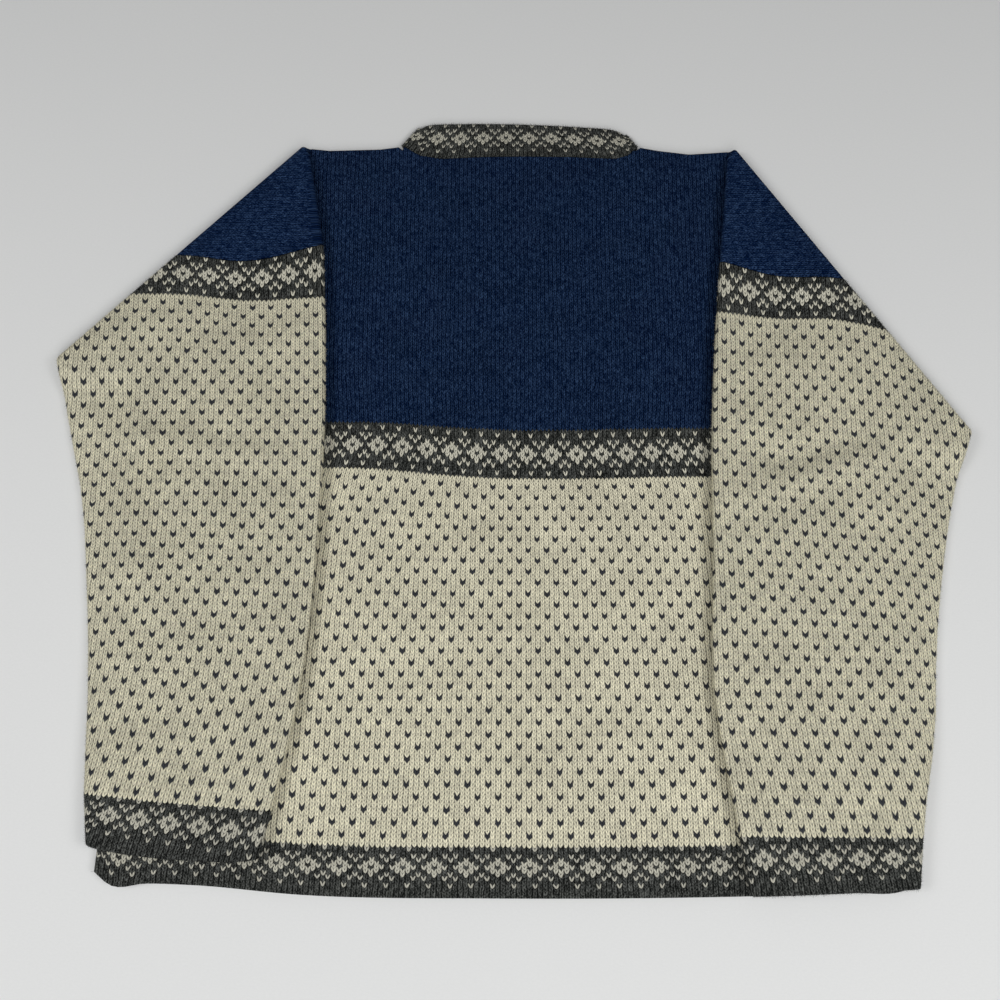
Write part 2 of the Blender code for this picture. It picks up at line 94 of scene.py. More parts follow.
COLLAR_BACK = {
    "base x": (-0.0940, -0.080, -0.060, -0.020, 0.0125, 0.060, 0.102, 0.1145, 0.1210),
    "base y": (0.3080, 0.2985, 0.2945, 0.2965, 0.2970, 0.2965, 0.2945, 0.2985, 0.3060),
    "top x": (-0.0790, -0.070, -0.052, -0.018, 0.0125, 0.054, 0.094, 0.1045, 0.1115),
    "top y": (0.3275, 0.3315, 0.3328, 0.3330, 0.3325, 0.3305, 0.3272, 0.3245, 0.3200),
}
# How far the lay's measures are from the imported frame's, which start at the middle of the box
LAY_CENTRE = (
    NECK_MIDDLE - (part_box("zip_chain")[0].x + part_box("zip_chain")[1].x) / 2,
    max(COLLAR_BACK["top y"]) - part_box("collar")[1].y,
)
FRONT_DROP, FRONT_TOP_DROP = 0.068, 0.052
DRAPE_RUN, DRAPE_START = 0.030, 0.001

# Meshes
ROWS_BELOW, ROWS_ABOVE, COLUMNS = 96, 64, 118
CLOSE_COLUMNS = (0.1455, 0.1965, 0.0022)  # from, to and apart: closer columns where the sleeves' edges lie
STATIONS, ACROSS, EDGE_POINTS = 128, 62, 15
NECK_POINTS, COLLAR_FRONT, COLLAR_TURNS, COLLAR_BEHIND, COLLAR_RINGS = 24, 26, 10, 57, 12
HEAD_SHARE = 4 / 14  # share of a sleeve over which the curve of its head fades out
RIM = (0.0, 0.00012, 0.00045, 0.0009, 0.0015, 0.0021, 0.0028)  # from a rim to the rings that round it off
SLIT_RIM = RIM[:4]
HEM_RADIUS, SEAM_RADIUS, SIDE_RADIUS = 0.00135, 0.0006, 0.0027

# --- Creases ---------------------------------------------------------------------------------------

# How far the upper cloth of a piece stands up away from its edges, and how far from them it gets there
SLEEVE_PUFF, BODY_PUFF = (0.0036, 0.014), (0.0044, 0.034)
# The share of the body's rise that comes close beside a sleeve, how far from it that starts, and its run
BANK, BANK_START, BANK_RUN = 0.55, 0.0015, 0.0080
# Towards the hem and the neck, the rise sinks to this share over this run
ENDS_Y, END_SHARE, END_RUN = {1: -0.338, -1: 0.297}, 0.35, 0.03
# How far a turned side's free edge stands up from the back, by share of its length from the shoulder, and
# how far from the edge that reaches
EDGE_LIFT = {
    "share": (0.0, 0.05, 0.10, 0.17, 0.30, 0.60, 1.0),
    "high": (0.0, 0.0036, 0.0052, 0.0051, 0.0048, 0.0045, 0.0036),
}
EDGE_REACH = 0.022
# Where the picture is taken from, in the lay's measures, and which way
VIEW_FOOT, VIEW_HEIGHT, VIEW_DIRECTION = (-0.0048, -0.256), 0.725, Vector((0, 0.2924, -0.9563))
# Ridges and troughs on top, as laid: middle line from end to end, half width and height
CREASES = {
    "left": (
        (((-0.252, 0.072), (-0.277, 0.028), (-0.294, -0.021), (-0.303, -0.080)), 0.011, -0.0066),
        (((-0.346, 0.026), (-0.295, 0.015), (-0.230, 0.005), (-0.160, -0.010)), 0.011, 0.0032),
        (((-0.352, 0.046), (-0.315, 0.052), (-0.285, 0.045)), 0.016, -0.0019),
        (((-0.325, -0.110), (-0.292, -0.134), (-0.262, -0.150)), 0.015, -0.0024),
        (((-0.255, -0.252), (-0.232, -0.228), (-0.215, -0.185)), 0.014, -0.0021),
        (((-0.215, 0.090), (-0.190, 0.060), (-0.170, 0.040)), 0.018, -0.0016),
    ),
    "right": (
        (((0.174, -0.038), (0.224, -0.027), (0.266, -0.012), (0.322, 0.004)), 0.012, 0.0034),
        (((0.188, 0.008), (0.234, -0.001), (0.276, 0.012), (0.325, 0.030)), 0.012, -0.0035),
        (((0.337, -0.018), (0.330, -0.055), (0.318, -0.100)), 0.017, -0.0032),
        (((0.196, 0.052), (0.236, 0.046), (0.262, 0.060)), 0.015, -0.0022),
        (((0.270, -0.130), (0.271, -0.197), (0.279, -0.260)), 0.013, -0.0024),
        (((0.250, -0.283), (0.280, -0.276), (0.305, -0.268)), 0.013, -0.0026),
    ),
    "body": (
        (((0.024, -0.075), (0.013, -0.135), (0.006, -0.205)), 0.013, -0.0021),
        (((0.078, -0.025), (0.062, -0.080), (0.045, -0.125)), 0.016, 0.0018),
        (((0.010, -0.285), (0.060, -0.256), (0.108, -0.190)), 0.018, 0.0019),
        (((0.022, -0.235), (0.052, -0.214), (0.080, -0.185)), 0.013, -0.0019),
        (((-0.100, -0.010), (-0.092, -0.050), (-0.085, -0.100)), 0.014, 0.0014),
        (((-0.120, -0.150), (-0.080, -0.176), (-0.050, -0.215)), 0.015, -0.0016),
        (((-0.075, 0.270), (-0.060, 0.210), (-0.064, 0.130)), 0.018, -0.0016),
        (((0.110, 0.262), (0.098, 0.190), (0.106, 0.110)), 0.019, -0.0016),
    ),
}
CUFF_BULGE = {"left": 0.0062, "right": 0.0008}  # how much longer a cuff is in its middle
# Slow unevenness of all the cloth: waves across and up it over a span, with their phases, and their height
WAVES = ((31, 17, 0.4), (-19, 43, 2.9), (57, 26, 5.1), (12, -61, 8.2))
WAVE_SPAN, WAVE_HIGH = 2.2, 0.0003

# --- Stitches --------------------------------------------------------------------------------------

# Body: width of a stitch and place of the middle flower's column, by height
BODY_STITCH = {
    "y": (-0.338, -0.150, -0.030, 0.009, 0.080, 0.200, 0.310),
    "width": (0.00387, 0.00378, 0.00360, 0.00346, 0.00356, 0.00363, 0.00372),
    "x": (-0.0066, -0.0052, -0.0038, -0.0034, -0.0034, -0.0034, -0.0034),
}
# Body rows, from the hem: 3 plain, 11 of pattern, 95 flecked, 13 of pattern, then plain to the shoulder
BODY_ROWS = {"y": (-0.3375, -0.304, -0.017, 0.0262, 0.310), "row": (0.6, 14, 109, 122, 215)}
CHEST_REACH, HEM_REACH = 0.07, 0.25  # how far up and down the rows follow the chest's sag and the hem
CHEST_SAG = {"x": (-0.150, -0.105, -0.060, -0.035, 0.165), "y": (0.0065, 0.0062, 0.0022, 0.0, 0.0)}
# Beside the left sleeve the rows were pulled up: by how many, round which place and how far
PULL = {"rows": -1.8, "place": (-0.150, -0.078), "reach": (0.036, 0.060)}
# Sleeve rows, by share of its length from the armhole: a band and 136 flecked. Then comes the cuff,
# whose rows have these heights at its inner and at its outer edge
SLEEVE_ROWS = {
    "left": {"share": (0.0, 0.0935, 0.930), "row": (162.4, 150, 14), "cuff": (0.0032, 0.0026)},
    "right": {"share": (0.0, 0.083, 0.923), "row": (162.4, 150, 14), "cuff": (0.0029, 0.0029)},
}
# How many rows the same line across a sleeve is off at its inner and at its outer edge
SLEEVE_ASKEW = {
    "share": (0.0, 0.10, 0.30, 0.60, 0.80, 0.93, 1.0),
    "left": ((0, 1.8, 0.8, -0.6, -0.6, 1.0, 1.0), (0, -5.5, -2.8, -3.4, -2.6, -0.4, -0.4)),
    "right": ((0, 2.6, 1.3, -0.1, -0.6, 0, 0), (0, -9.8, -9.3, -7.0, -4.0, 0, 0)),
}
SLEEVE_STITCH = {
    "left": {
        "share": (0.0, 0.3, 0.65, 0.8, 1.0),
        "width": (0.00386, 0.00396, 0.00388, 0.00384, 0.00380),
        "column": (14.1, 13.9, 13.4, 12.9, 12.7),
    },
    "right": {
        "share": (0.0, 0.14, 0.3, 0.45, 0.55, 0.65, 0.75, 0.9, 1.0),
        "width": (0.00377, 0.00388, 0.00396, 0.00395, 0.00395, 0.00394, 0.00394, 0.00393, 0.00392),
        "column": (-18.7, -19.9, -20.5, -21.0, -21.8, -22.5, -22.4, -21.9, -21.4),
    },
}
COLLAR_STITCH, COLLAR_ROWS = 0.00355, (1.2, 14.6)
COLLAR_FLOWER = 0.0008  # x of a flower near the middle of the collar's back
SLANT = 1.2  # rows that a leg of a stitch climbs over a whole stitch's width
FLECK_SLANT = 1.45  # the same for the dark flecks, which are drawn tighter
LEG_LENGTH, LEG_BREADTH = 1.50, 0.98  # half sizes of a leg's leaf, in halves of its cell

# The front's right shoulder was pulled askew: its columns lean by this angle where it is turned over
LEAN, LEAN_RUN, LEAN_STITCH, LEAN_ROW = math.radians(25.4), 0.080, 0.0041, 0.0030

# Yarn colours
CREAM, CREAM_DULL = (0.775, 0.732, 0.548), (0.655, 0.620, 0.476)
CREAM_SLEEVE, CREAM_SLEEVE_DULL = (0.695, 0.656, 0.492), (0.585, 0.556, 0.428)
NAVY, NAVY_LIGHT = (0.0003, 0.0062, 0.0305), (0.0290, 0.0570, 0.1220)
GREY, GREY_LIGHT = (0.0110, 0.0125, 0.0118), (0.125, 0.130, 0.121)
FLECK = (0.038, 0.041, 0.047)
PATTERN, PATTERN_DULL = (0.590, 0.570, 0.470), (0.425, 0.412, 0.350)


# --- Curves and the fold, as in the solids -------------------------------------------------------

def smooth(keys, values, at):
    """The smooth curve through a short table, read at any keys."""
    keys, values = np.asarray(keys, float), np.asarray(values, float)
    at = np.clip(np.asarray(at, float), keys[0], keys[-1])
    slope = np.gradient(values, keys, axis=0)
    i = np.clip(np.searchsorted(keys, at, side="right") - 1, 0, len(keys) - 2)
    step = keys[i + 1] - keys[i]
    t = (at - keys[i]) / step
    if values.ndim > 1:
        step, t = step[..., None], t[..., None]
    bend = t * (1 - t) * ((1 - t) * slope[i] - t * slope[i + 1]) * step
    ease = t * t * (3 - 2 * t)
    return values[i] * (1 - ease) + values[i + 1] * ease + bend


def along(points, count):
    """Evenly spaced points on the smooth curve through the points given."""
    points = np.asarray(points, float)
    keys = np.concatenate([[0], np.cumsum(np.linalg.norm(np.diff(points, axis=0), axis=1))])
    fine = smooth(keys, points, np.linspace(0, keys[-1], 40 * count))
    run = np.concatenate([[0], np.cumsum(np.linalg.norm(np.diff(fine, axis=0), axis=1))])
    even = np.linspace(0, run[-1], count)
    return np.stack([np.interp(even, run, fine[:, k]) for k in (0, 1)], axis=1)


def fold_line(side):
    upper, lower = np.array(SIDES[side]["fold"])
    run = (lower - upper) / np.linalg.norm(lower - upper)
    out = np.array((run[1], -run[0])) if side == "left" else np.array((-run[1], run[0]))
    return upper - FOLD_Z * out, out


def unfold(side, points):
    points = np.asarray(points, float)
    start, out = fold_line(side)
    past = (points - start) @ out
    return points + (FOLD_ARC - 2 * past)[..., None] * out


def turn_over(side, points):
    start, out = fold_line(side)
    past = (points[:, :2] - start) @ out
    angle = np.clip(past / FOLD_RADIUS, 0, math.pi)
    reach = FOLD_Z - points[:, 2]
    beyond = np.maximum(past - FOLD_ARC, 0)
    placed = np.minimum(past, 0) + reach * np.sin(angle) - beyond
    moved = points.copy()
    moved[:, :2] += (placed - past)[:, None] * out
    moved[:, 2] = FOLD_Z - reach * np.cos(angle)
    return moved


def armhole(side, parts):
    lay = SIDES[side]
    return along([*unfold(side, lay["armhole"]), lay["under"]], parts + 1)


def body_side(side, y):
    end = 0 if side == "left" else -1
    ux, uy = SIDES[side]["under"]
    return HEM["x"][end] + (ux - HEM["x"][end]) * (y - HEM["y"][end]) / (uy - HEM["y"][end])


def drape_edges(side):
    under, sign = np.array(SIDES[side]["under"]), -1 if side == "left" else 1
    hem = np.array((body_side(side, HEM["y"][0]), HEM["y"][0]))
    outs = []
    for run in (hem - under, under - SIDES[side]["outer"][0]):
        outs.append(sign * np.array((-run[1], run[0])) / np.linalg.norm(run))
    return under, outs


def drape(side, points):
    """Brings down what lies off the body and off the sleeve's own lower part."""
    under, outs = drape_edges(side)
    eased = (points[:, 2] > FOLD_Z).astype(float)
    for out in outs:
        share = np.clip(((points[:, :2] - under) @ out - DRAPE_START) / DRAPE_RUN, 0, 1)
        eased *= share * share * (3 - 2 * share)
    moved = points.copy()
    moved[:, 2] -= (2 * FOLD_Z - STACK) * eased
    return moved


def rounded(distance, radius):
    """How far a face drops at this distance from its rim."""
    left = radius - np.clip(distance, 0, radius)
    return radius - np.sqrt(np.maximum(radius * radius - left * left, 0))


def to_path(points, path):
    """How far points are from a path of straight runs, and which share of its length is nearest."""
    path = np.asarray(path, float)
    runs = np.linalg.norm(np.diff(path, axis=0), axis=1)
    starts = np.concatenate([[0], np.cumsum(runs)])
    best, share = np.full(len(points), 9.0), np.zeros(len(points))
    for a, b, run, start in zip(path, path[1:], runs, starts):
        t = np.clip(((points - a) @ (b - a)) / run**2, 0, 1)
        away = np.linalg.norm(points - a - t[:, None] * (b - a), axis=1)
        nearer = away < best
        best[nearer], share[nearer] = away[nearer], ((start + t * run) / starts[-1])[nearer]
    return best, share


def creases(part, points):
    """Height of the ridges and troughs of one part at points of the lay."""
    height = np.zeros(len(points))
    for path, wide, high in CREASES[part]:
        away, share = to_path(points, path)
        height += high * np.exp(-((away / wide) ** 2)) * (0.35 + 0.65 * np.sin(math.pi * share) ** 0.8)
    x, y = points[:, 0], points[:, 1]
    for across, up, phase in WAVES:
        height += WAVE_HIGH * np.sin(2 * math.pi * (across * x + up * y) / WAVE_SPAN + phase)
    return height


def swell(side, points):
    """How far the upper cloth of a turned side stands up: nothing at its edges, most in the middle."""
    lay = SIDES[side]
    inner, _ = to_path(points, [lay["corner"], *lay["inner"]])
    outer, _ = to_path(points, [*lay["fold"], *lay["outer"]])
    high, run = SLEEVE_PUFF
    rise = (1 - np.exp(-((inner / run) ** 1.3))) * (1 - np.exp(-((outer / run) ** 1.3)))
    return rise * (high + creases(side, points))


def edge_lift(side, points):
    """How far a turned side stands clear of the back beside its free edge."""
    lay = SIDES[side]
    away, share = to_path(points, [lay["corner"], *lay["inner"]])
    return smooth(EDGE_LIFT["share"], EDGE_LIFT["high"], share) * np.exp(-((away / EDGE_REACH) ** 2))


def lifted(points, height):
    """Points raised by a height, and drawn in so that they stay where the photo shows them."""
    moved = points.copy()
    moved[:, :2] -= height[:, None] * (points[:, :2] - VIEW_FOOT) / VIEW_HEIGHT
    moved[:, 2] += height
    return moved


def body_swell(points):
    """The same for what shows of the back, between the sleeves."""
    high, run = BODY_PUFF
    rise = np.ones(len(points))
    for side, sign in (("left", 1), ("right", -1)):
        lay = SIDES[side]
        edge = np.array([lay["corner"], *lay["inner"], (lay["inner"][-1][0], -0.36)])[::-1]
        inside = sign * (points[:, 0] - np.interp(points[:, 1], edge[:, 1], edge[:, 0]))
        inside = np.maximum(inside - BANK_START, 0)
        rise *= 1 - (1 - BANK) * np.exp(-((inside / run) ** 1.2)) - BANK * np.exp(-((inside / BANK_RUN) ** 2))
    for sign, edge_y in ENDS_Y.items():
        inside = np.maximum(sign * (points[:, 1] - edge_y), 0)
        rise *= END_SHARE + (1 - END_SHARE) * (1 - np.exp(-((inside / END_RUN) ** 1.2)))
    return rise * (high + creases("body", points))


# --- Meshes ----------------------------------------------------------------------------------------

def flat_mesh(name, points, faces, stitches):
    """A bmesh of the flat piece that carries each point's stitch and row."""
    data = bpy.data.meshes.new(name)
    data.from_pydata(points, [], faces)
    for k, key in enumerate(("stitch", "row")):
        data.attributes.new(key, "FLOAT", "POINT").data.foreach_set("value", stitches[:, k])
    mesh = bmesh.new()
    mesh.from_mesh(data)
    bpy.data.meshes.remove(data)
    return mesh


def loft(rings):
    """Faces between rings of points that follow each other."""
    following = np.roll(rings, -1, axis=1)
    return np.stack([rings[:-1], following[:-1], following[1:], rings[1:]], axis=2).reshape(-1, 4)


def placed(name, data, material):
    """A mesh as an object in the scene, in one material."""
    data.materials.append(material)
    thing = bpy.data.objects.new(name, data)
    bpy.context.scene.collection.objects.link(thing)
    return thing


def cut(mesh, point, normal):
    everything = mesh.verts[:] + mesh.edges[:] + mesh.faces[:]
    bmesh.ops.bisect_plane(
        mesh, geom=everything, dist=2e-5, plane_co=(*point, 0), plane_no=(*normal, 0)
    )


def made(name, mesh, change, material):
    """The finished object: the flat mesh with its points moved by change, and its stitches as UVs."""
    bmesh.ops.triangulate(mesh, faces=[f for f in mesh.faces if len(f.verts) > 4])
    bmesh.ops.recalc_face_normals(mesh, faces=mesh.faces[:])
    data = bpy.data.meshes.new(name)
    mesh.to_mesh(data)
    mesh.free()
    points = np.empty(3 * len(data.vertices), np.float32)
    data.vertices.foreach_get("co", points)
    points = change(points.reshape(-1, 3).astype(float))
    points[:, :2] -= LAY_CENTRE
    data.vertices.foreach_set("co", points.ravel())
    corners = np.empty(len(data.loops), np.int32)
    data.loops.foreach_get("vertex_index", corners)
    values = []
    for key in ("stitch", "row"):
        column = np.empty(len(data.vertices), np.float32)
        data.attributes[key].data.foreach_get("value", column)
        values.append(column[corners])
    data.uv_layers.new(name="knit").uv.foreach_set("vector", np.stack(values, axis=1).ravel())
    for key in ("stitch", "row"):
        data.attributes.remove(data.attributes[key])
    data.shade_smooth()
    return placed(name, data, material)


def hem_line(x):
    return smooth(HEM["x"], HEM["y"], x)


def side_points(side):
    """Points of a panel's side edge in each row, from the hem to the tip of the shoulder."""
    end = 0 if side == "left" else -1
    foot = HEM["y"][end]
    run = SIDES[side]["under"][1] - foot
    heights = foot + np.concatenate([RIM, np.linspace(0, run, ROWS_BELOW + 1)[1:-1]])
    below = np.stack([body_side(side, heights), heights], axis=1)
    above = armhole(side, ROWS_ABOVE)[::-1]
    last = (above[-1] - above[-2]) / np.linalg.norm(above[-1] - above[-2])
    rims = [above[-1] - last * d for d in RIM[::-1]]
    return np.vstack([below, above[:-1], rims])


def shoulder_line():
    """Nominal x and flat y of the top edge outside the neck, from the left armhole to the right one."""
    lines = {}
    for side, lay in SIDES.items():
        tip, corner = unfold(side, [lay["armhole"][0], lay["corner"]])
        line = np.array([*zip(*(SHOULDER[side][k] for k in "xy")), corner, tip])
        spread = (HALF - STRAIGHT) / (abs(tip[0]) - STRAIGHT)
        past = np.maximum(np.abs(line[:, 0]) - STRAIGHT, 0)
        line[:, 0] += np.sign(line[:, 0]) * past * (spread - 1)
        lines[side] = line
    return lines["left"][::-1], lines["right"]


def panel(columns, neck_x, neck_y):
    """Plan grid of a body panel, from the hem up to the shoulders and the neck edge."""
    left, right = shoulder_line()
    top_x = np.concatenate([left[:, 0], neck_x, right[:, 0]])
    top_y = np.concatenate([left[:, 1], neck_y, right[:, 1]])
    top = np.interp(columns, top_x, top_y)
    hem = hem_line(columns)
    edges = {side: side_points(side) for side in SIDES}
    shares = [(e[:, 1] - e[0, 1]) / (e[-1, 1] - e[0, 1]) for e in edges.values()]
    across = (columns + HALF) / (2 * HALF)
    shares = shares[0][:, None] * (1 - across) + shares[1][:, None] * across
    out = np.maximum(np.abs(columns) - STRAIGHT, 0) / (HALF - STRAIGHT)
    edge = np.where(columns < 0, edges["left"][:, :1], edges["right"][:, :1])
    straight = np.clip(columns, -STRAIGHT, STRAIGHT)
    x = straight + out * (edge - np.sign(columns) * STRAIGHT)
    return np.stack([x, hem + (top - hem) * shares], axis=2)


def body_stitches(plan):
    """Stitch and row of flat points of the body."""
    x, y = plan[..., 0], plan[..., 1]
    width = smooth(BODY_STITCH["y"], BODY_STITCH["width"], y)
    middle = smooth(BODY_STITCH["y"], BODY_STITCH["x"], y)
    sag = smooth(CHEST_SAG["x"], CHEST_SAG["y"], x) * np.exp(-((y / CHEST_REACH) ** 2))
    lowest = min(HEM["y"])
    hem = (hem_line(x) - lowest) * np.clip(1 - (y - lowest) / HEM_REACH, 0, 1)
    rows = np.interp(y - hem - sag, BODY_ROWS["y"], BODY_ROWS["row"])
    far = ((x - PULL["place"][0]) / PULL["reach"][0]) ** 2 + ((y - PULL["place"][1]) / PULL["reach"][1]) ** 2
    return np.stack([(x - middle) / width, rows + PULL["rows"] * np.exp(-far)], axis=-1)


def leaning(plan, stitches):
    """The front's stitches, with the columns at the right shoulder askew."""
    start, out = fold_line("right")
    upper = np.array(SIDES["right"]["fold"][0])
    share = np.clip(((plan - start) @ out + LEAN_RUN) / LEAN_RUN, 0, 1)
    share = (share * share * (3 - 2 * share))[..., None]
    offset = plan - upper
    across = offset @ np.array((math.cos(LEAN), -math.sin(LEAN)))
    up = offset @ np.array((math.sin(LEAN), math.cos(LEAN)))
    turned = body_stitches(upper) + np.stack([across / LEAN_STITCH, up / LEAN_ROW], axis=-1)
    return stitches * (1 - share) + turned * share


def body_shell(name, plan, low, high, drops, keep, stitches, lift, material):
    """A closed shell over the kept cells of a plan grid, folded over at both shoulders."""
    rows, count = plan.shape[:2]
    index = np.arange(rows * count).reshape(rows, count)
    top = np.concatenate([plan, (high - drops[0])[..., None]], axis=2).reshape(-1, 3)
    base = np.concatenate([plan, (low + drops[1])[..., None]], axis=2).reshape(-1, 3)
    n = rows * count
    a, b, c, d = index[:-1, :-1], index[:-1, 1:], index[1:, 1:], index[1:, :-1]
    cells = np.stack([a, b, c, d], axis=2)
    kept = cells[keep]
    faces = [kept, kept[:, ::-1] + n]
    padded = np.pad(keep, 1)
    for (i, j), (di, dj) in (((0, 1), (0, 1)), ((1, 2), (1, 2)), ((2, 3), (2, 1)), ((3, 0), (1, 0))):
        open_side = keep & ~padded[di : di + rows - 1, dj : dj + count - 1]
        one, other = cells[..., i][open_side], cells[..., j][open_side]
        faces.append(np.stack([one + n, other + n, other, one], axis=1))
    faces = np.vstack(faces)
    used, faces = np.unique(faces, return_inverse=True)
    faces = faces.reshape(-1, 4)
    points = np.vstack([top, base])[used]
    mesh = flat_mesh(name, points, faces.tolist(), np.vstack([stitches.reshape(-1, 2)] * 2)[used])
    for side in SIDES:
        start, out = fold_line(side)
        for step in range(FOLD_STEPS + 1):
            cut(mesh, start + out * FOLD_ARC * step / FOLD_STEPS, out)

    def change(flat):
        points = flat
        for side in SIDES:
            points = turn_over(side, points)
        return lifted(points, lift(flat, points))

    return made(name, mesh, change, material)


def panel_columns():
    """Nominal x of a panel's columns: an even spread, the shoulder line's own points and the rims."""
    left, right = shoulder_line()
    columns = np.linspace(-HALF + 0.004, HALF - 0.004, COLUMNS)
    first, last, apart = CLOSE_COLUMNS
    close = np.arange(first, last, apart)
    away = (np.abs(columns) < first - apart / 2) | (np.abs(columns) > last + apart / 2)
    columns = np.concatenate([columns[away], close, -close])
    for x in (*left[1:, 0], *right[:-1, 0]):
        columns = np.append(columns[np.abs(columns - x) > 0.0012], x)
    rims = [HALF - d for d in RIM]
    return np.unique(np.round(np.concatenate([columns, rims, np.negative(rims)]), 6))


def panel_drops(columns, rows):
    """How far the outer and the inner face drop towards the hem, the sides, the armholes and the top."""
    left, right = shoulder_line()
    side = np.broadcast_to(HALF - np.abs(columns), (rows, len(columns)))
    foot, top = np.full((2, rows, 1), 1.0)
    foot[: len(RIM), 0], top[-len(RIM):, 0] = RIM, RIM[::-1]
    below = (np.arange(rows) < ROWS_BELOW + len(RIM) - 2)[:, None]
    neck = (columns > left[-1, 0]) & (columns < right[0, 0])
    outer = np.where(below, rounded(side, SIDE_RADIUS), rounded(side, SEAM_RADIUS))
    outer = np.maximum(outer, np.where(neck, rounded(top, SEAM_RADIUS), rounded(top, SIDE_RADIUS)))
    hem = rounded(foot, HEM_RADIUS)
    return np.maximum(outer, hem), np.broadcast_to(hem, outer.shape)


def turned(side, flat):
    """0 for points that stay below a fold, 1 for those past it."""
    start, out = fold_line(side)
    return np.clip(((flat[:, :2] - start) @ out - FOLD_ARC / 2) / FOLD_ARC, 0, 1)


def make_back(material):
    neck_x, base = np.array(COLLAR_BACK["base x"]), np.array(COLLAR_BACK["base y"])
    columns = panel_columns()
    plan = panel(columns, neck_x, base - GAP * np.hypot(1, np.gradient(base, neck_x)))
    keep = np.ones(np.subtract(plan.shape[:2], 1), bool)
    outer, inner = panel_drops(columns, len(plan))

    def lift(flat, points):
        upper = np.clip((flat[:, 2] - BACK_LOW) / WALL, 0, 1)
        over = {side: turned(side, flat) for side in SIDES}
        lifts = sum(over[side] * edge_lift(side, points[:, :2]) for side in SIDES)
        return lifts + body_swell(points[:, :2]) * upper * (1 - np.maximum(over["left"], over["right"]))

    faces = (outer, inner)
    return body_shell("back_knit", plan, BACK_LOW, STACK, faces, keep, body_stitches(plan), lift, material)


def front_neck(sections):
    """The front collar's sections, as base and top points, from the left fold to the right."""
    back = {k: (v[0], v[-1]) for k, v in COLLAR_BACK.items()}
    halves = {}
    for name, drop in (("base", FRONT_DROP), ("top", FRONT_TOP_DROP)):
        (x0, x1), (y0, y1) = back[name + " x"], back[name + " y"]
        left = x0 + (NECK_MIDDLE - SLIT_HALF - x0) * np.linspace(0, 1, sections)
        right = NECK_MIDDLE + SLIT_HALF + (x1 - NECK_MIDDLE - SLIT_HALF) * np.linspace(0, 1, sections)
        x = np.concatenate([left, right])
        across = (x - x0) / (x1 - x0)
        y = y0 + (y1 - y0) * across - drop * (1 - (2 * across - 1) ** 2)
        halves[name] = np.stack([x, y], axis=1)
    return halves


def make_front(material):
    base = front_neck(NECK_POINTS)["base"]
    steep = np.hypot(1, np.gradient(base[:, 1], base[:, 0]))
    slit = (NECK_MIDDLE - SLIT_HALF, NECK_MIDDLE + SLIT_HALF)
    extra = sorted([slit[0] - d for d in SLIT_RIM] + [slit[1] + d for d in SLIT_RIM])
    columns = panel_columns()
    columns = columns[(columns < slit[0] - 0.0016) | (columns > slit[1] + 0.0016)]
    columns = np.unique(np.round(np.concatenate([columns, extra]), 6))
    plan = panel(columns, base[:, 0], base[:, 1] - GAP * steep)
    rows = len(plan)
    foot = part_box("zip_tape_left")[0].y + LAY_CENTRE[1] - GAP
    first = int(np.searchsorted(plan[:, np.argmin(np.abs(columns - NECK_MIDDLE)), 1], foot))
    keep = np.ones(np.subtract(plan.shape[:2], 1), bool)
    j = int(np.argmin(np.abs(columns - slit[0])))
    keep[first:, j] = False
    outer, inner = panel_drops(columns, rows)
    beside = np.minimum(np.abs(columns - slit[0]), np.abs(columns - slit[1]))
    by_slit = np.zeros((rows, len(columns)))
    by_slit[first:] = rounded(beside, SLIT_RIM[-1])[None, :]
    drops = (np.maximum(inner, by_slit), np.maximum(outer, by_slit))

    def lift(flat, points):
        outer_face = np.clip(1 - flat[:, 2] / WALL, 0, 1)
        over = {side: turned(side, flat) for side in SIDES}
        lifts = sum(over[side] * edge_lift(side, points[:, :2]) for side in SIDES)
        return lifts + sum(over[side] * swell(side, points[:, :2]) for side in SIDES) * outer_face

    stitches = leaning(plan, body_stitches(plan))
    return body_shell("front_knit", plan, 0.0, WALL, drops, keep, stitches, lift, material)


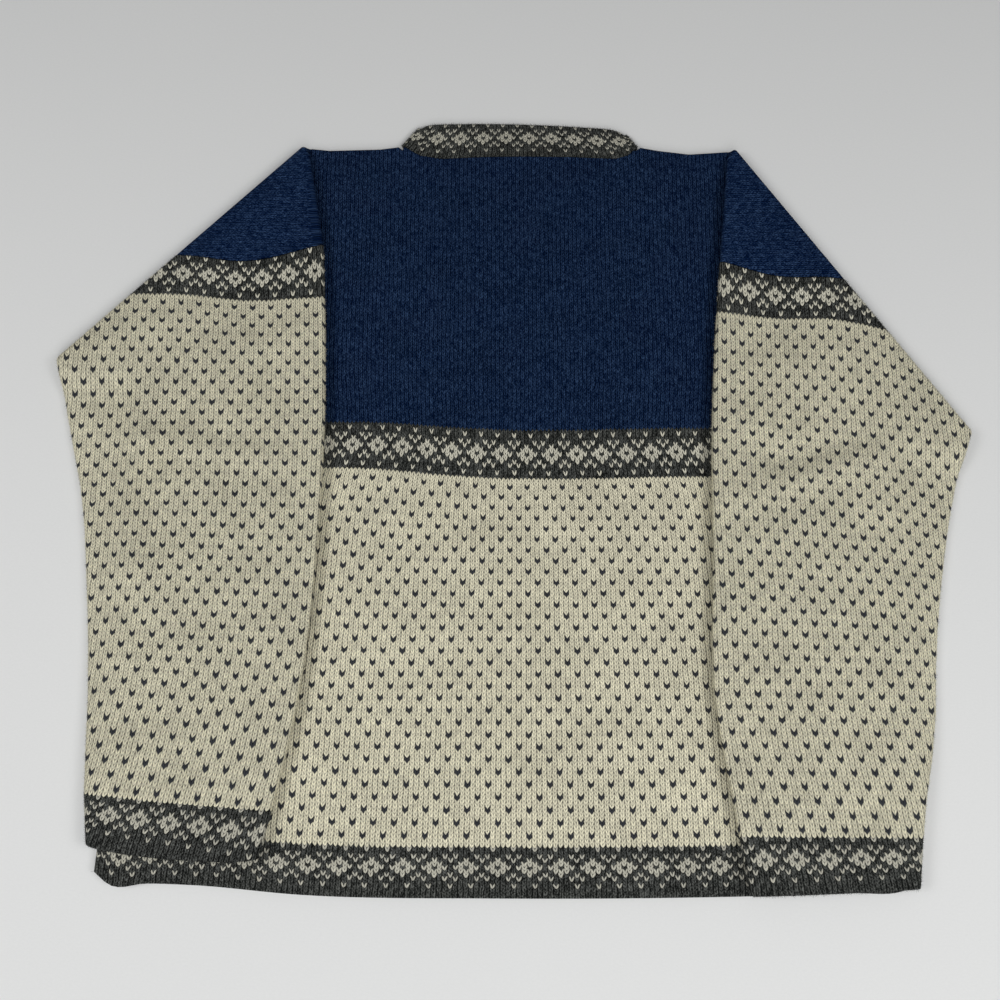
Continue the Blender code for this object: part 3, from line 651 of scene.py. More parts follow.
def make_sleeve(side, material):
    """A flat tube from the armhole to the cuff, with its two walls and an open end."""
    lay, sign = SIDES[side], -1 if side == "left" else 1
    head = armhole(side, ROWS_ABOVE) + (sign * ARMHOLE_GAP, 0)
    inner = along(unfold(side, lay["inner"]), EDGE_POINTS)
    outer = along(np.vstack([lay["under"], unfold(side, lay["outer"])]), EDGE_POINTS)
    keys = np.linspace(0, 1, EDGE_POINTS)
    length = np.linalg.norm(np.diff(inner, axis=0), axis=1).sum()
    rims = np.array(RIM) / length
    shares = np.concatenate([rims, np.linspace(0, 1, STATIONS)[1:-1], 1 - rims[::-1]])
    drops = np.zeros(len(shares))
    drops[: len(RIM)] = rounded(np.array(RIM), SEAM_RADIUS)
    drops[-len(RIM):] = rounded(np.array(RIM[::-1]), HEM_RADIUS)
    parts = np.linspace(0, 1, ROWS_ABOVE + 1)
    bulge = head - (head[0] + (head[-1] - head[0]) * parts[:, None])
    turns = np.radians(np.linspace(0, 90, 6))
    middle, stitch, cuff = STACK / 2, SLEEVE_STITCH[side], SLEEVE_ROWS[side]["cuff"]
    down = (inner[-1] - inner[-2]) / np.linalg.norm(inner[-1] - inner[-2])
    shells, marks = [], []
    for share, drop in zip(shares, drops):
        a = np.array([np.interp(share, keys, inner[:, k]) for k in (0, 1)])
        b = np.array([np.interp(share, keys, outer[:, k]) for k in (0, 1)])
        fade = max(0, 1 - share / HEAD_SHARE) ** 2
        wide = np.linalg.norm(b - a)
        end = STACK / 2 / wide
        flat = end + (1 - 2 * end) * np.arange(1, ACROSS) / ACROSS
        row = np.interp(share, SLEEVE_ROWS[side]["share"], SLEEVE_ROWS[side]["row"])
        past = (share - SLEEVE_ROWS[side]["share"][-1]) * length
        width = smooth(stitch["share"], stitch["width"], share)
        column = smooth(stitch["share"], stitch["column"], share)
        pair, pair_marks = [], []
        for size in (STACK / 2 - drop, STACK / 2 - SLEEVE_WALL + drop):
            edge = [((STACK / 2 - size * math.cos(t)) / wide, size * math.sin(t)) for t in turns]
            half = edge + [(s, size) for s in flat] + [(1 - s, z) for s, z in reversed(edge)]
            loop = np.array([(s, middle - z) for s, z in half]
                            + [(s, middle + z) for s, z in reversed(half[1:-1])])
            s = loop[:, 0]
            line = a + (b - a) * s[:, None] + (sign * ARMHOLE_GAP * fade, 0)
            line = line + fade * np.stack([np.interp(s, parts, bulge[:, k]) for k in (0, 1)], axis=1)
            belly = CUFF_BULGE[side] * np.clip((share - 0.9) / 0.1, 0, 1)
            belly = belly * np.sqrt(np.clip(4 * s * (1 - s), 0, 1))
            line = line + down * belly[:, None]
            pair.append(np.column_stack([line, loop[:, 1]]))
            askew = [smooth(SLEEVE_ASKEW["share"], off, share) for off in SLEEVE_ASKEW[side]]
            askew = askew[0] * (1 - s) + askew[1] * s
            if past > 0:
                rows = row - (past + belly) / np.interp(s, (0, 1), cuff)
            else:
                rows = np.full(len(s), row)
            # Stitches go round the rounded edges at their full width
            near = np.minimum(s, 1 - s) * wide
            lean = np.arcsin(np.clip(np.abs(loop[:, 1] - middle) / size, 0, 1))
            near = np.where(near < STACK / 2 - 1e-7, STACK / 2 - size * (math.pi / 2 - lean), near)
            reach = np.where(s < 0.5, near, wide - near)
            pair_marks.append(np.column_stack([column + sign * reach / width, rows + askew]))
        shells.append(pair)
        marks.append(pair_marks)
    count = len(shells[0][0])
    points = np.array(shells)
    marks = np.array(marks)
    stations = len(shells)
    index = np.arange(stations * 2 * count).reshape(stations, 2, count)
    faces = [loft(index[:, shell]) for shell in (0, 1)]
    following = np.roll(index, -1, axis=2)
    for end in (0, -1):
        faces.append(np.stack([index[end, 0], following[end, 0], following[end, 1], index[end, 1]], axis=1))
    faces = np.vstack(faces)
    name = "sleeve_" + side + "_knit"
    mesh = flat_mesh(name, points.reshape(-1, 3), faces.tolist(), marks.reshape(-1, 2))
    start, out = fold_line(side)
    for step in range(FOLD_STEPS + 1):
        cut(mesh, start + out * FOLD_ARC * step / FOLD_STEPS, out)

    def change(flat):
        points = drape(side, turn_over(side, flat))
        upper = np.clip(1 - flat[:, 2] / STACK, 0, 1)
        rise = edge_lift(side, points[:, :2]) + swell(side, points[:, :2]) * upper
        return lifted(points, rise * turned(side, flat))

    return made(name, mesh, change, material)


def make_collar(material):
    front = front_neck(COLLAR_FRONT)
    keys = np.arange(len(COLLAR_BACK["base x"]))
    fine = np.linspace(0, keys[-1], COLLAR_BEHIND)
    back = {
        k: np.stack([smooth(keys, COLLAR_BACK[k + axis], fine) for axis in (" x", " y")], axis=1)
        for k in ("base", "top")
    }
    ends = {}
    for side, k in (("left", 0), ("right", -1)):
        run = back["top"][k] - back["base"][k]
        out = np.array((-run[1], run[0])) if side == "left" else np.array((run[1], -run[0]))
        ends[side] = out / np.linalg.norm(out)
    turns = [math.pi * t / COLLAR_TURNS for t in range(1, COLLAR_TURNS)]
    sections = [(front["base"][k], front["top"][k], 0, (0, 0)) for k in range(COLLAR_FRONT, 2 * COLLAR_FRONT)]
    sections += [(back["base"][-1], back["top"][-1], t, ends["right"]) for t in turns]
    sections += [(back["base"][k], back["top"][k], math.pi, (0, 0)) for k in range(COLLAR_BEHIND)[::-1]]
    sections += [(back["base"][0], back["top"][0], t, ends["left"]) for t in reversed(turns)]
    sections += [(front["base"][k], front["top"][k], 0, (0, 0)) for k in range(COLLAR_FRONT)]
    middle = STACK / 2
    rim = np.array(RIM)
    rings, marks, stitch, last = [], [], 0.0, None
    end_drop = np.full(len(sections), 1.0)
    end_drop[0] = end_drop[-1] = 0.0
    for section, near in zip(sections, end_drop):
        base, top, angle, out = section
        out = np.array(out)
        high = np.linalg.norm(top - base)
        end = rim[-1] / high
        between = np.linspace(end, 1 - end, COLLAR_RINGS)[1:-1]
        shares = np.concatenate([rim / high, between, 1 - rim[::-1] / high])
        drop = np.maximum(rounded(shares * high, SEAM_RADIUS), rounded((1 - shares) * high, HEM_RADIUS))
        if near == 0:
            drop = np.maximum(drop, 0.0009)
        loop = []
        for face, inward, order in ((0.0, 1, 1), (WALL, -1, -1)):
            radius = (middle - face - inward * drop)[::order]
            place = base + (top - base) * shares[::order, None] + out * (radius * math.sin(angle))[:, None]
            loop.append(np.column_stack([place, middle - radius * math.cos(angle)]))
        ring = np.vstack(loop)
        across = ring[len(shares) // 2]
        if last is not None:
            stitch += np.linalg.norm(across - last) / COLLAR_STITCH
        last = across
        rows = COLLAR_ROWS[0] + (COLLAR_ROWS[1] - COLLAR_ROWS[0]) * shares
        rings.append(ring)
        marks.append(np.column_stack([np.full(len(ring), -stitch), np.concatenate([rows, rows[::-1]])]))
    marks = np.array(marks)
    mid = COLLAR_FRONT + len(turns) + COLLAR_BEHIND // 2
    marks[:, :, 0] += (NECK_MIDDLE - COLLAR_FLOWER) / COLLAR_STITCH - marks[mid, 0, 0]
    points = np.array(rings)
    stations, count = points.shape[:2]
    index = np.arange(stations * count).reshape(stations, count)
    faces = [loft(index)]
    half = count // 2
    for end in (0, -1):
        one, other = index[end][:half], index[end][half:][::-1]
        faces.append(np.stack([one[:-1], one[1:], other[1:], other[:-1]], axis=1))
    faces = np.vstack(faces)
    mesh = flat_mesh("collar_knit", points.reshape(-1, 3), faces.tolist(), marks.reshape(-1, 2))
    return made("collar_knit", mesh, lambda p: p, material)


# --- Materials -------------------------------------------------------------------------------------

class Value:
    """A number in a node tree, with Python's own arithmetic."""

    def __init__(self, tree, socket):
        self.tree, self.socket = tree, socket

    def do(self, operation, *others, clamp=False):
        node = self.tree.nodes.new("ShaderNodeMath")
        node.operation, node.use_clamp = operation, clamp
        for place, value in enumerate((self, *others)):
            if isinstance(value, Value):
                self.tree.links.new(value.socket, node.inputs[place])
            else:
                node.inputs[place].default_value = value
        return Value(self.tree, node.outputs[0])

    def __add__(self, other):
        return self.do("ADD", other)

    def __sub__(self, other):
        return self.do("SUBTRACT", other)

    def __mul__(self, other):
        return self.do("MULTIPLY", other)

    def rest(self, divisor):
        return self.do("FLOORED_MODULO", divisor)

    def near(self, other, margin=0.5):
        return self.do("COMPARE", other, margin)

    def more(self, other):
        return self.do("GREATER_THAN", other)

    def minus_from(self, other):
        return (self * -1) + other

    def size(self):
        return self.do("ABSOLUTE")

    def most(self, other):
        return self.do("MAXIMUM", other)

    def least(self, other):
        return self.do("MINIMUM", other)

    def soft(self, at, width):
        """0 below at and 1 above it, over this width."""
        return self.do("MULTIPLY_ADD", 1 / width, 0.5 - at / width, clamp=True)


def new_material(name, roughness, specular, metallic=0.0):
    material = bpy.data.materials.new(name)
    material.use_nodes = True
    tree = material.node_tree
    shader = tree.nodes["Principled BSDF"]
    shader.inputs["Roughness"].default_value = roughness
    shader.inputs["Specular IOR Level"].default_value = specular
    shader.inputs["Metallic"].default_value = metallic
    return material, tree, shader


def add_bump(tree, shader, height, strength, distance):
    bump = tree.nodes.new("ShaderNodeBump")
    bump.inputs["Strength"].default_value = strength
    bump.inputs["Distance"].default_value = distance
    tree.links.new(height.socket, bump.inputs["Height"])
    tree.links.new(bump.outputs[0], shader.inputs["Normal"])


def noise_node(tree, vector, scale, detail=2.0, roughness=0.5):
    node = tree.nodes.new("ShaderNodeTexNoise")
    node.inputs["Scale"].default_value = scale
    node.inputs["Detail"].default_value = detail
    node.inputs["Roughness"].default_value = roughness
    tree.links.new(vector, node.inputs["Vector"])
    return node


def noise(tree, *settings):
    return Value(tree, noise_node(tree, *settings).outputs[0])


def blend_colours(tree, share, one, other):
    """Mix of two colours, each a tuple or a socket."""
    node = tree.nodes.new("ShaderNodeMix")
    node.data_type = "RGBA"
    tree.links.new(share.socket, node.inputs["Factor"])
    for name, colour in (("A", one), ("B", other)):
        place = next(s for s in node.inputs if s.name == name and s.type == "RGBA")
        if isinstance(colour, tuple):
            place.default_value = (*colour, 1)
        else:
            tree.links.new(colour, place)
    return next(s for s in node.outputs if s.type == "RGBA")


def combine(tree, x, y, z=0.0):
    node = tree.nodes.new("ShaderNodeCombineXYZ")
    for place, value in enumerate((x, y, z)):
        if isinstance(value, Value):
            tree.links.new(value.socket, node.inputs[place])
        else:
            node.inputs[place].default_value = value
    return node.outputs[0]


def chart(column, above):
    """1 where the band's chart has the light yarn. above counts rows from the flower's middle row."""
    q = above.size()
    six = column.rest(6.0)
    c = six.least(six.minus_from(6.0))
    lit = q.near(0) * (c.near(1) .most(c.near(2)))
    lit = lit.most(q.near(1) * (c.near(0).most(c.near(1))))
    lit = lit.most(q.near(2) * (c.near(0).most(c.near(3))))
    lit = lit.most(q.near(3) * c.near(2))
    inner = q.more(2.5).minus_from(1.0) * c.more(2.5).minus_from(1.0)
    return lit.most(q.near(5) * column.rest(4.0).near(3)), inner


def knit_material(name, flecked_rows, creams, rib_shade=1.0, shade=1.0):
    """Stranded knitting, from the UV map in stitches and rows. The rows are a band, flecks, a band, plain."""
    material, tree, shader = new_material(name, roughness=0.92, specular=0.02)
    top = 14 + flecked_rows
    uv = tree.nodes.new("ShaderNodeUVMap")
    uv.uv_map = "knit"
    parts = tree.nodes.new("ShaderNodeSeparateXYZ")
    tree.links.new(uv.outputs[0], parts.inputs[0])
    wobble = noise_node(tree, uv.outputs[0], 0.40, 2.0)
    waver = tree.nodes.new("ShaderNodeSeparateColor")
    tree.links.new(wobble.outputs["Color"], waver.inputs[0])
    u = Value(tree, parts.outputs[0]) + (Value(tree, waver.outputs[0]) - 0.5) * 0.55
    v = Value(tree, parts.outputs[1]) + (Value(tree, waver.outputs[1]) - 0.5) * 0.60
    column = (u + 0.5).do("FLOOR")
    aside = (u - column).size()
    climb = v - aside * SLANT
    row = climb.do("FLOOR")
    across = climb - row

    # Each leg of a stitch is a leaf of yarn that leans outwards, with dark holes beside its two ends; the
    # holes' dark is painted shade and the leaf's bright middle a painted highlight, both drawn into the tone
    # below
    p, q = aside * 4.0 - 1.0, across * 2.0 - 1.0
    length, breadth = (p + q) * (0.7071 / LEG_LENGTH), (p - q) * (0.7071 / LEG_BREADTH)
    bulk = length * length + breadth * breadth
    fibre = noise(tree, combine(tree, u * 9.0, climb * 4.0), 1.0, 3.0, 0.7) - 0.5
    ridge = bulk.minus_from(1.0).most(0.0).do("SQRT")
    valley = aside.soft(0.40, 0.20)
    height = ridge * valley.minus_from(1.6) * 0.6 + fibre * 0.30

    # Which yarn shows
    flecks = None
    for column_phase, row_phase in ((2.0, 2.5), (0.0, 5.5)):
        du = ((u - (column_phase - 2.0)).rest(4.0) - 2.0).size()
        dv = (((v - du * FLECK_SLANT).minus_from(top - row_phase + 3.0)).rest(6.0) - 3.0).size()
        edge = fibre * 0.40
        one = (du + edge).minus_from(0.63).soft(0.02, 0.24) * (dv + edge).minus_from(0.67).soft(0.02, 0.30)
        flecks = one if flecks is None else flecks.most(one)
    in_flecks = row.more(13.5) * row.minus_from(top - 0.5).more(0.0)
    in_upper = row.more(top - 0.5)
    in_yoke = row.more(top + 12.5)
    upper = row.minus_from(top + 6.0)
    lower = row.minus_from(8.0)
    from_flower = upper * in_upper + lower * in_upper.minus_from(1.0)
    lit, inner = chart(column, from_flower)
    leaf = (inner * 0.42 + 0.78 - bulk - fibre * 0.5).soft(0.0, 0.26)
    lit = lit * in_flecks.minus_from(1.0) * leaf

    # Colours, with the heather of the wool; painted shade moves each yarn to its dark colour in the valleys
    # between columns, and a painted highlight moves it to its light colour on the legs
    heather = noise(tree, combine(tree, u * 2.6, v * 0.45), 1.0, 3.0, 0.75) - 0.5
    specks = noise(tree, combine(tree, u * 4.1, v * 2.2, 7.7), 1.0, 2.0, 0.7) - 0.5
    random = tree.nodes.new("ShaderNodeTexWhiteNoise")
    random.noise_dimensions = "2D"
    tree.links.new(combine(tree, column, row), random.inputs["Vector"])
    stitch = Value(tree, random.outputs["Value"]) - 0.5
    broad = noise(tree, uv.outputs[0], 0.06, 2.0) - 0.5
    heather_and_rib_shade = heather * 0.85 + specks + fibre * 0.40 + stitch * 0.13 + (ridge * 0.10 - valley * 0.16) * rib_shade
    heather_and_rib_shade_share = heather_and_rib_shade.soft(0.14, 0.46)
    grey = blend_colours(tree, heather_and_rib_shade_share, GREY, GREY_LIGHT)
    navy = blend_colours(tree, heather_and_rib_shade_share, NAVY, NAVY_LIGHT)
    cream = blend_colours(tree, heather_and_rib_shade.soft(0.05, 0.40), creams[1], creams[0])
    ground = blend_colours(tree, in_flecks, grey, cream)
    ground = blend_colours(tree, in_yoke, ground, navy)
    pattern = blend_colours(tree, in_upper.most(inner * 0.40), PATTERN_DULL, PATTERN)
    colour = blend_colours(tree, lit, ground, pattern)
    colour = blend_colours(tree, flecks * in_flecks, colour, FLECK)

    # Painted highlight on each leg's middle and painted shade in the holes and in the valleys between
    # columns, with the wool's own random tone from heather, specks, stitches and broad patches added. Light
    # wool differs little from place to place, and dark wool much
    light = (in_flecks * flecks.minus_from(1.0)).most(lit)
    painted_relief_shade_and_tone = ridge * 0.70 + 0.52 - valley * (light * 0.04 + 0.30) * rib_shade
    painted_relief_shade_and_tone = (painted_relief_shade_and_tone + heather * 0.50 + specks * 0.65 + stitch * 0.14 + broad * 0.30) * shade
    multiply = tree.nodes.new("ShaderNodeVectorMath")
    multiply.operation = "SCALE"
    tree.links.new(colour, multiply.inputs[0])
    tree.links.new(painted_relief_shade_and_tone.most(0.10).socket, multiply.inputs["Scale"])
    tree.links.new(multiply.outputs[0], shader.inputs["Base Color"])
    add_bump(tree, shader, height, 0.8, 0.0010)
    return material


def metal_material(name, colour):
    """Plated metal, dulled and scratched."""
    material, tree, shader = new_material(name, roughness=0.4, specular=0.5, metallic=1.0)
    place = tree.nodes.new("ShaderNodeTexCoord").outputs["Object"]
    scratches, stains = noise(tree, place, 900.0, 4.0, 0.65), noise(tree, place, 160.0, 3.0, 0.6)
    stained = blend_colours(tree, stains.soft(0.5, 0.35), colour, tuple(0.55 * c for c in colour))
    tree.links.new(stained, shader.inputs["Base Color"])
    tree.links.new((scratches * 0.25 + stains * 0.25 + 0.15).socket, shader.inputs["Roughness"])
    add_bump(tree, shader, scratches, 0.25, 0.0001)
    return material


def weave_material(name, colour, other, thread):
    """Plain weave, with threads this wide, from an object's own places."""
    material, tree, shader = new_material(name, roughness=0.85, specular=0.15)
    place = tree.nodes.new("ShaderNodeTexCoord").outputs["Object"]
    parts = tree.nodes.new("ShaderNodeSeparateXYZ")
    tree.links.new(place, parts.inputs[0])
    turn = math.pi / thread
    x, y = Value(tree, parts.outputs[0]) * turn, Value(tree, parts.outputs[1]) * turn
    warp, weft = x.do("SINE").size(), y.do("SINE").size()
    over = ((x * (1 / math.pi)).do("FLOOR") + (y * (1 / math.pi)).do("FLOOR")).rest(2.0)
    height = warp * over + weft * over.minus_from(1.0)
    grain = noise(tree, place, 0.7 / thread, 3.0, 0.7)
    # The colour darkens towards the low places between the threads: painted shade, with the grain's random
    # tone mixed in
    woven = blend_colours(tree, height * 0.6 + grain * 0.5 - 0.1, other, colour)
    tree.links.new(woven, shader.inputs["Base Color"])
    add_bump(tree, shader, height, 0.5, thread * 0.4)
    return material


# --- Build -----------------------------------------------------------------------------------------

back_wool = knit_material("wool_back", 95, (CREAM, CREAM_DULL))
# The front's wool is the back's drawn a quarter lighter, with weaker painted rib shade: painted light on the
# turned corners, whose nap lies another way and catches more light
front_wool_painted_lighter = knit_material("wool_front_painted_lighter", 95, (CREAM, CREAM_DULL), rib_shade=0.45, shade=1.25)
sleeve_wool = knit_material("wool_sleeve", 136, (CREAM_SLEEVE, CREAM_SLEEVE_DULL))
collar_wool = knit_material("wool_collar", 0, (CREAM, CREAM_DULL))

back = make_back(back_wool)
front = make_front(front_wool_painted_lighter)
sleeves = {side: make_sleeve(side, sleeve_wool) for side in SIDES}
collar = make_collar(collar_wool)

for piece, node, slot in (
    (back, "back", "wool_navy"),
    (front, "front", "wool_navy"),
    (sleeves["left"], "sleeve_left", "wool_cream"),
    (sleeves["right"], "sleeve_right", "wool_cream"),
    (collar, "collar", "wool_grey"),
):
    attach(piece, "garment")
    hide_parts(node)

# --- Fuzz: short loose fibres of wool, in the colour of the stitch that they come out of ----------

FUZZ_LENGTH, FUZZ_THICK = (0.0010, 0.0032), (0.00004, 0.00008)
FUZZ_REACH = 0.04  # cloth nearer than this above a place hides it
FUZZ_TRIES = 3.2  # places tried for each fibre, since many are hidden
FUZZ_ROOT = 0.0002  # how deep a fibre starts, and the lowest that its tip comes
FUZZ_CORNERS = (0.0, 2.094, 4.189)  # angles of a fibre's three corners
RIM_SHARE = 10.0  # how much denser fibres are shown at rims and folds


def surface(thing):
    """Corners, UVs and area vectors of an object's triangles."""
    data = thing.data
    data.calc_loop_triangles()
    count = len(data.loop_triangles)
    corners, loops = np.empty(3 * count, np.int32), np.empty(3 * count, np.int32)
    data.loop_triangles.foreach_get("vertices", corners)
    data.loop_triangles.foreach_get("loops", loops)
    points = np.empty(3 * len(data.vertices), np.float32)
    data.vertices.foreach_get("co", points)
    marks = np.empty(2 * len(data.loops), np.float32)
    data.uv_layers["knit"].uv.foreach_get("vector", marks)
    points = points.reshape(-1, 3).astype(float)
    triangles = points[corners.reshape(-1, 3)]
    areas = np.cross(triangles[:, 1] - triangles[:, 0], triangles[:, 2] - triangles[:, 0]) / 2
    return points, corners.reshape(-1, 3), triangles, marks.reshape(-1, 2)[loops.reshape(-1, 3)], areas


def unit(vectors):
    return vectors / np.maximum(np.linalg.norm(vectors, axis=-1, keepdims=True), 1e-12)


def add_fuzz(thing, cover, count, seed):
    """Fibres on what shows of a piece from above and from the sides."""
    draw = np.random.default_rng(seed)
    _, _, triangles, marks, areas = surface(thing)
    size = np.linalg.norm(areas, axis=1)
    normals = unit(areas)
    weight = size * np.where(np.abs(normals[:, 2]) < 0.8, RIM_SHARE, 1.0) * (normals[:, 2] > -0.3)
    tries = int(count * FUZZ_TRIES)
    chosen = draw.choice(len(size), tries, p=weight / weight.sum())
    a, b = draw.random((2, tries, 1))
    a, b = np.where(a + b > 1, 1 - a, a), np.where(a + b > 1, 1 - b, b)
    corners, marked, normal = triangles[chosen], marks[chosen], normals[chosen]
    roots = corners[:, 0] * (1 - a - b) + corners[:, 1] * a + corners[:, 2] * b
    stitches = marked[:, 0] * (1 - a - b) + marked[:, 1] * a + marked[:, 2] * b
    out = unit(normal + (0, 0, 0.45))
    seen = [k for k in range(tries)
            if cover.ray_cast(Vector(roots[k] + normal[k] * 0.0003), Vector(out[k]), FUZZ_REACH)[0] is None]
    seen = np.array(seen[:count])
    roots, stitches, normal = roots[seen], stitches[seen], normal[seen]
    count = len(seen)
    lean = unit(draw.normal(size=(count, 3)))
    towards = unit(normal * draw.uniform(0.25, 0.9, (count, 1)) + lean)
    towards = np.where(((towards * normal).sum(axis=1) < 0.1)[:, None], unit(towards + normal * 1.2), towards)
    far = FUZZ_LENGTH[0] + (FUZZ_LENGTH[1] - FUZZ_LENGTH[0]) * draw.random((count, 1)) ** 2
    thick = draw.uniform(*FUZZ_THICK, (count, 1))
    one = unit(np.cross(towards, lean + (0.3, 0.2, 0.1)))
    other = np.cross(towards, one)
    base = roots - normal * FUZZ_ROOT
    ring = [base + thick * (math.cos(t) * one + math.sin(t) * other) for t in FUZZ_CORNERS]
    tip = base + towards * far
    tip[:, 2] = np.maximum(tip[:, 2], FUZZ_ROOT)
    points = np.stack([*ring, tip], axis=1).reshape(-1, 3)
    first = 4 * np.arange(count)[:, None]
    faces = np.concatenate([first + f for f in ((0, 1, 3), (1, 2, 3), (2, 0, 3), (2, 1, 0))]).astype(np.int32)
    data = bpy.data.meshes.new(thing.name + "_fuzz")
    data.vertices.add(len(points))
    data.vertices.foreach_set("co", points.astype(np.float32).ravel())
    data.loops.add(faces.size)
    data.loops.foreach_set("vertex_index", faces.ravel())
    data.polygons.add(len(faces))
    data.polygons.foreach_set("loop_start", np.arange(0, faces.size, 3, dtype=np.int32))
    data.update(calc_edges=True)
    values = stitches[(faces // 4).ravel()].astype(np.float32)
    data.uv_layers.new(name="knit").uv.foreach_set("vector", values.ravel())
    return placed(thing.name + "_fuzz", data, thing.data.materials[0])


cloths = [front, back, *sleeves.values(), collar]
cover_points, cover_faces, before = [], [], 0
for piece in cloths:
    piece_points, piece_faces = surface(piece)[:2]
    cover_points.append(piece_points)
    cover_faces.append(piece_faces + before)
    before += len(piece_points)
cover = BVHTree.FromPolygons(
    np.vstack(cover_points).tolist(), np.vstack(cover_faces).tolist(), all_triangles=True)
for seed, (piece, count, slot) in enumerate((
    (front, 12000, "wool_navy"), (back, 19500, "wool_navy"), (sleeves["left"], 27000, "wool_cream"),
    (sleeves["right"], 27000, "wool_cream"), (collar, 9000, "wool_grey"),
)):
    fibres = add_fuzz(piece, cover, count, 40 + seed)
    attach(fibres, "garment")

# --- Zip -------------------------------------------------------------------------------------------

TOOTH_PITCH, TOOTH_LONG = 0.0015, 0.0031
metal = metal_material("plated_metal", (0.46, 0.44, 0.40))
woven = weave_material("zip_weave", (0.030, 0.042, 0.075), (0.008, 0.012, 0.025), 0.0005)
nylon, nylon_tree, nylon_shader = new_material("zip_nylon", roughness=0.45, specular=0.4)
nylon_place = nylon_tree.nodes.new("ShaderNodeTexCoord").outputs["Object"]
nylon_noise = noise(nylon_tree, nylon_place, 500.0, 3.0)
nylon_colour = blend_colours(nylon_tree, nylon_noise, (0.012, 0.018, 0.035), (0.035, 0.045, 0.075))
nylon_tree.links.new(nylon_colour, nylon_shader.inputs["Base Color"])


def closed(name, points, faces, material):
    """A smooth closed object from points and faces."""
    mesh = bmesh.new()
    corners = [mesh.verts.new(p) for p in points]
    for face in faces:
        mesh.faces.new([corners[k] for k in face])
    bmesh.ops.recalc_face_normals(mesh, faces=mesh.faces[:])
    data = bpy.data.meshes.new(name)
    mesh.to_mesh(data)
    mesh.free()
    data.shade_smooth()
    return placed(name, data, material)


def tape_mesh(node):
    """A tape with rounded edges that waves slightly between its stitches."""
    low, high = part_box(node)
    half = (high.z - low.z) / 2
    across = np.array([0, 0.0001, 0.0004, 0.002, 0.004, 0.006])
    across = np.concatenate([across, (high.x - low.x) - across[:3][::-1]])
    lengths = np.linspace(low.y, high.y, 150)
    edge = np.minimum(across, across[::-1])
    thick = np.sqrt(np.clip(1 - (1 - np.clip(edge / 0.0004, 0, 1)) ** 2, 0.04, 1)) * half
    rings = []
    for y in lengths:
        middle = (low.z + high.z) / 2 + 0.00006 * math.sin(y * 2 * math.pi / 0.011)
        upper = [(low.x + x, y, middle + t * 0.8) for x, t in zip(across, thick)]
        under = [(low.x + x, y, middle - t * 0.8) for x, t in zip(across, thick)]
        rings.append(upper + under[::-1])
    count = len(rings[0])
    faces = loft(np.arange(len(rings) * count).reshape(-1, count)).tolist()
    faces += [tuple(range(count))[::-1], tuple((len(rings) - 1) * count + k for k in range(count))]
    return closed(node + "_woven", [p for ring in rings for p in ring], faces, woven)


def coil_mesh():
    """Teeth that reach past each other from both sides, each a short rounded bar."""
    low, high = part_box("zip_chain")
    middle = (low.x + high.x) / 2
    points, faces = [], []
    count = int((high.y - low.y) / TOOTH_PITCH * 2) - 1
    for k in range(count):
        sign = 1 if k % 2 else -1
        y = low.y + TOOTH_PITCH * (0.5 + k / 2)
        start = middle - sign * (TOOTH_LONG - (high.x - low.x) / 2)
        for place, size in ((0.0, 0.55), (0.12, 0.95), (0.45, 0.80), (0.85, 1.0), (1.0, 0.7)):
            for corner in range(8):
                turn = math.radians(45 * corner + 22.5)
                points.append((start + sign * TOOTH_LONG * place,
                               y + 0.00034 * size * math.cos(turn),
                               (low.z + high.z) / 2 + 0.00058 * size * math.sin(turn)))
        first = 40 * k
        for ring in range(4):
            for corner in range(8):
                following = (corner + 1) % 8
                one, other = first + 8 * ring, first + 8 * ring + 8
                faces.append((one + corner, one + following, other + following, other + corner))
        faces += [tuple(range(first, first + 8))[::-1], tuple(range(first + 32, first + 40))]
    return closed("zip_coil_teeth", points, faces, nylon)


tapes = [tape_mesh(node) for node in ("zip_tape_left", "zip_tape_right")]
for piece, node, slot in ((tapes[0], "zip_tape_left", "zip_tape"), (tapes[1], "zip_tape_right", "zip_tape"),
                          (coil_mesh(), "zip_chain", "zip_coil")):
    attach(piece, "garment")
    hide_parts(node)
for node in ("zip_slider", "zip_pull"):
    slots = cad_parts[node].data.materials
    for k in range(len(slots)):
        slots[k] = metal

# --- Stage -----------------------------------------------------------------------------------------

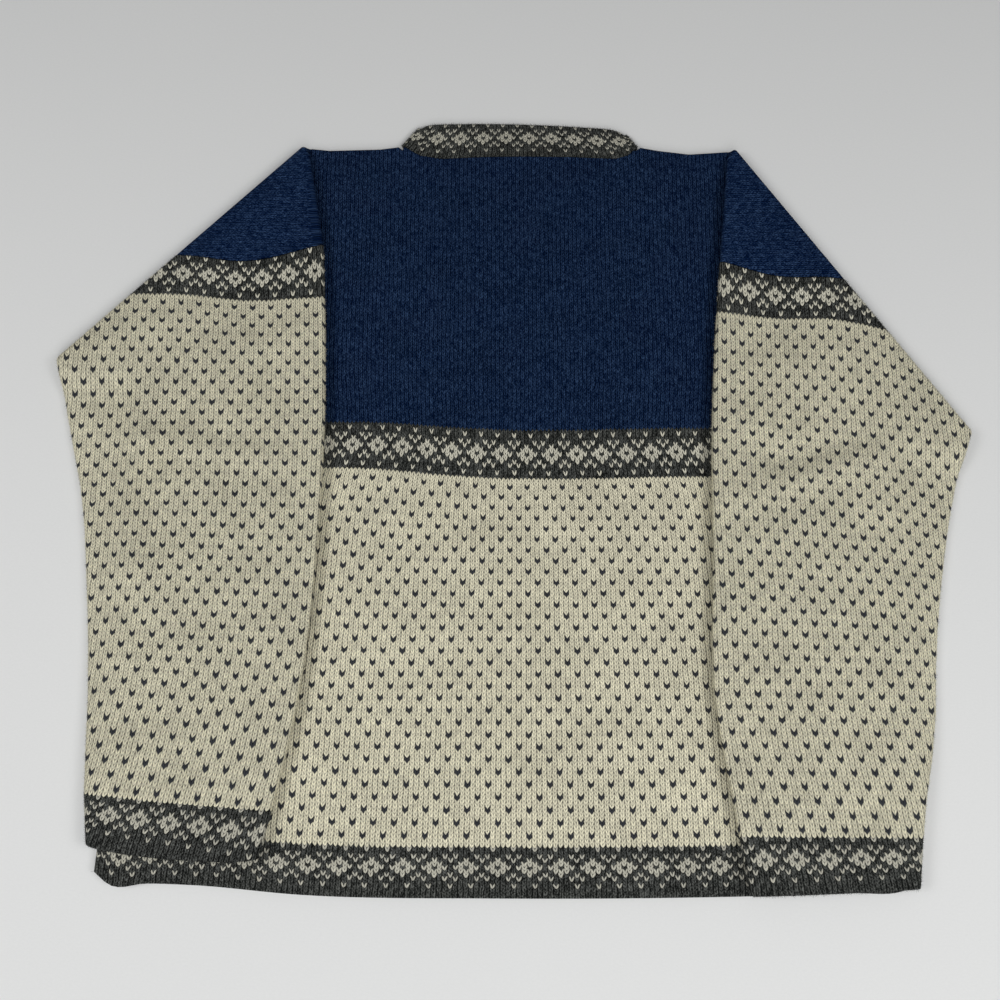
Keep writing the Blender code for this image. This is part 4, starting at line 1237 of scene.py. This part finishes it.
FLOOR_LOW = -0.0002
FLOOR_HALF, FLOOR_COLOURS = 3.0, ((0.74, 0.745, 0.74), (0.80, 0.805, 0.80))
floor_data = bpy.data.meshes.new("floor")
corners = [(x * FLOOR_HALF, y * FLOOR_HALF, 0) for x, y in ((-1, -1), (1, -1), (1, 1), (-1, 1))]
floor_data.from_pydata(corners, [], [(0, 1, 2, 3)])
floor = bpy.data.objects.new("floor", floor_data)
bpy.context.scene.collection.objects.link(floor)
floor.location.z = FLOOR_LOW
floor_look, floor_tree, floor_shader = new_material("floor_look", roughness=0.95, specular=0.05)
floor_place = floor_tree.nodes.new("ShaderNodeTexCoord").outputs["Object"]
floor_parts = floor_tree.nodes.new("ShaderNodeSeparateXYZ")
floor_tree.links.new(floor_place, floor_parts.inputs[0])
floor_x, floor_y = (Value(floor_tree, floor_parts.outputs[k]) for k in (0, 1))
floor_thread = noise(floor_tree, combine(floor_tree, floor_x * 420.0, floor_y * 700.0), 1.0, 3.0, 0.7)
floor_folds = noise(floor_tree, floor_place, 3.2, 2.0, 0.4)
floor_colour = blend_colours(floor_tree, floor_thread, *FLOOR_COLOURS)
floor_tree.links.new(floor_colour, floor_shader.inputs["Base Color"])
add_bump(floor_tree, floor_shader, floor_folds + floor_thread * 0.02, 0.6, 0.004)
floor_data.materials.append(floor_look)

world = bpy.data.worlds.new("soft_room")
bpy.context.scene.world = world
world.use_nodes = True
world.node_tree.nodes["Background"].inputs["Color"].default_value = (0.99, 0.995, 1.0, 1)
world.node_tree.nodes["Background"].inputs["Strength"].default_value = 0.19


# Lights, with their places, sizes and powers. All aim at the same point
LIGHT_AIM = Vector((0.0, -0.05, 0.0))
for name, place, size, power in (
    ("window", (0.15, -1.55, 1.45), 1.2, 18),
    ("lamp_left", (-1.25, -0.25, 1.35), 0.7, 10),
    ("lamp_right", (1.25, -0.50, 1.35), 0.7, 10),
):
    light_data = bpy.data.lights.new(name, "AREA")
    light_data.shape, light_data.size, light_data.energy = "SQUARE", size, power
    lamp = bpy.data.objects.new(name, light_data)
    lamp.location = place
    lamp.rotation_euler = (LIGHT_AIM - Vector(place)).to_track_quat("-Z", "Y").to_euler()
    bpy.context.scene.collection.objects.link(lamp)

camera_data = bpy.data.cameras.new("camera")
camera_data.sensor_width, camera_data.lens = 36.0, 33.0
camera = bpy.data.objects.new("camera", camera_data)
camera.location = (VIEW_FOOT[0] - LAY_CENTRE[0], VIEW_FOOT[1] - LAY_CENTRE[1], VIEW_HEIGHT)
camera.rotation_euler = VIEW_DIRECTION.to_track_quat("-Z", "Y").to_euler()
bpy.context.scene.collection.objects.link(camera)
bpy.context.scene.camera = camera
bpy.context.scene.view_settings.view_transform = "Standard"
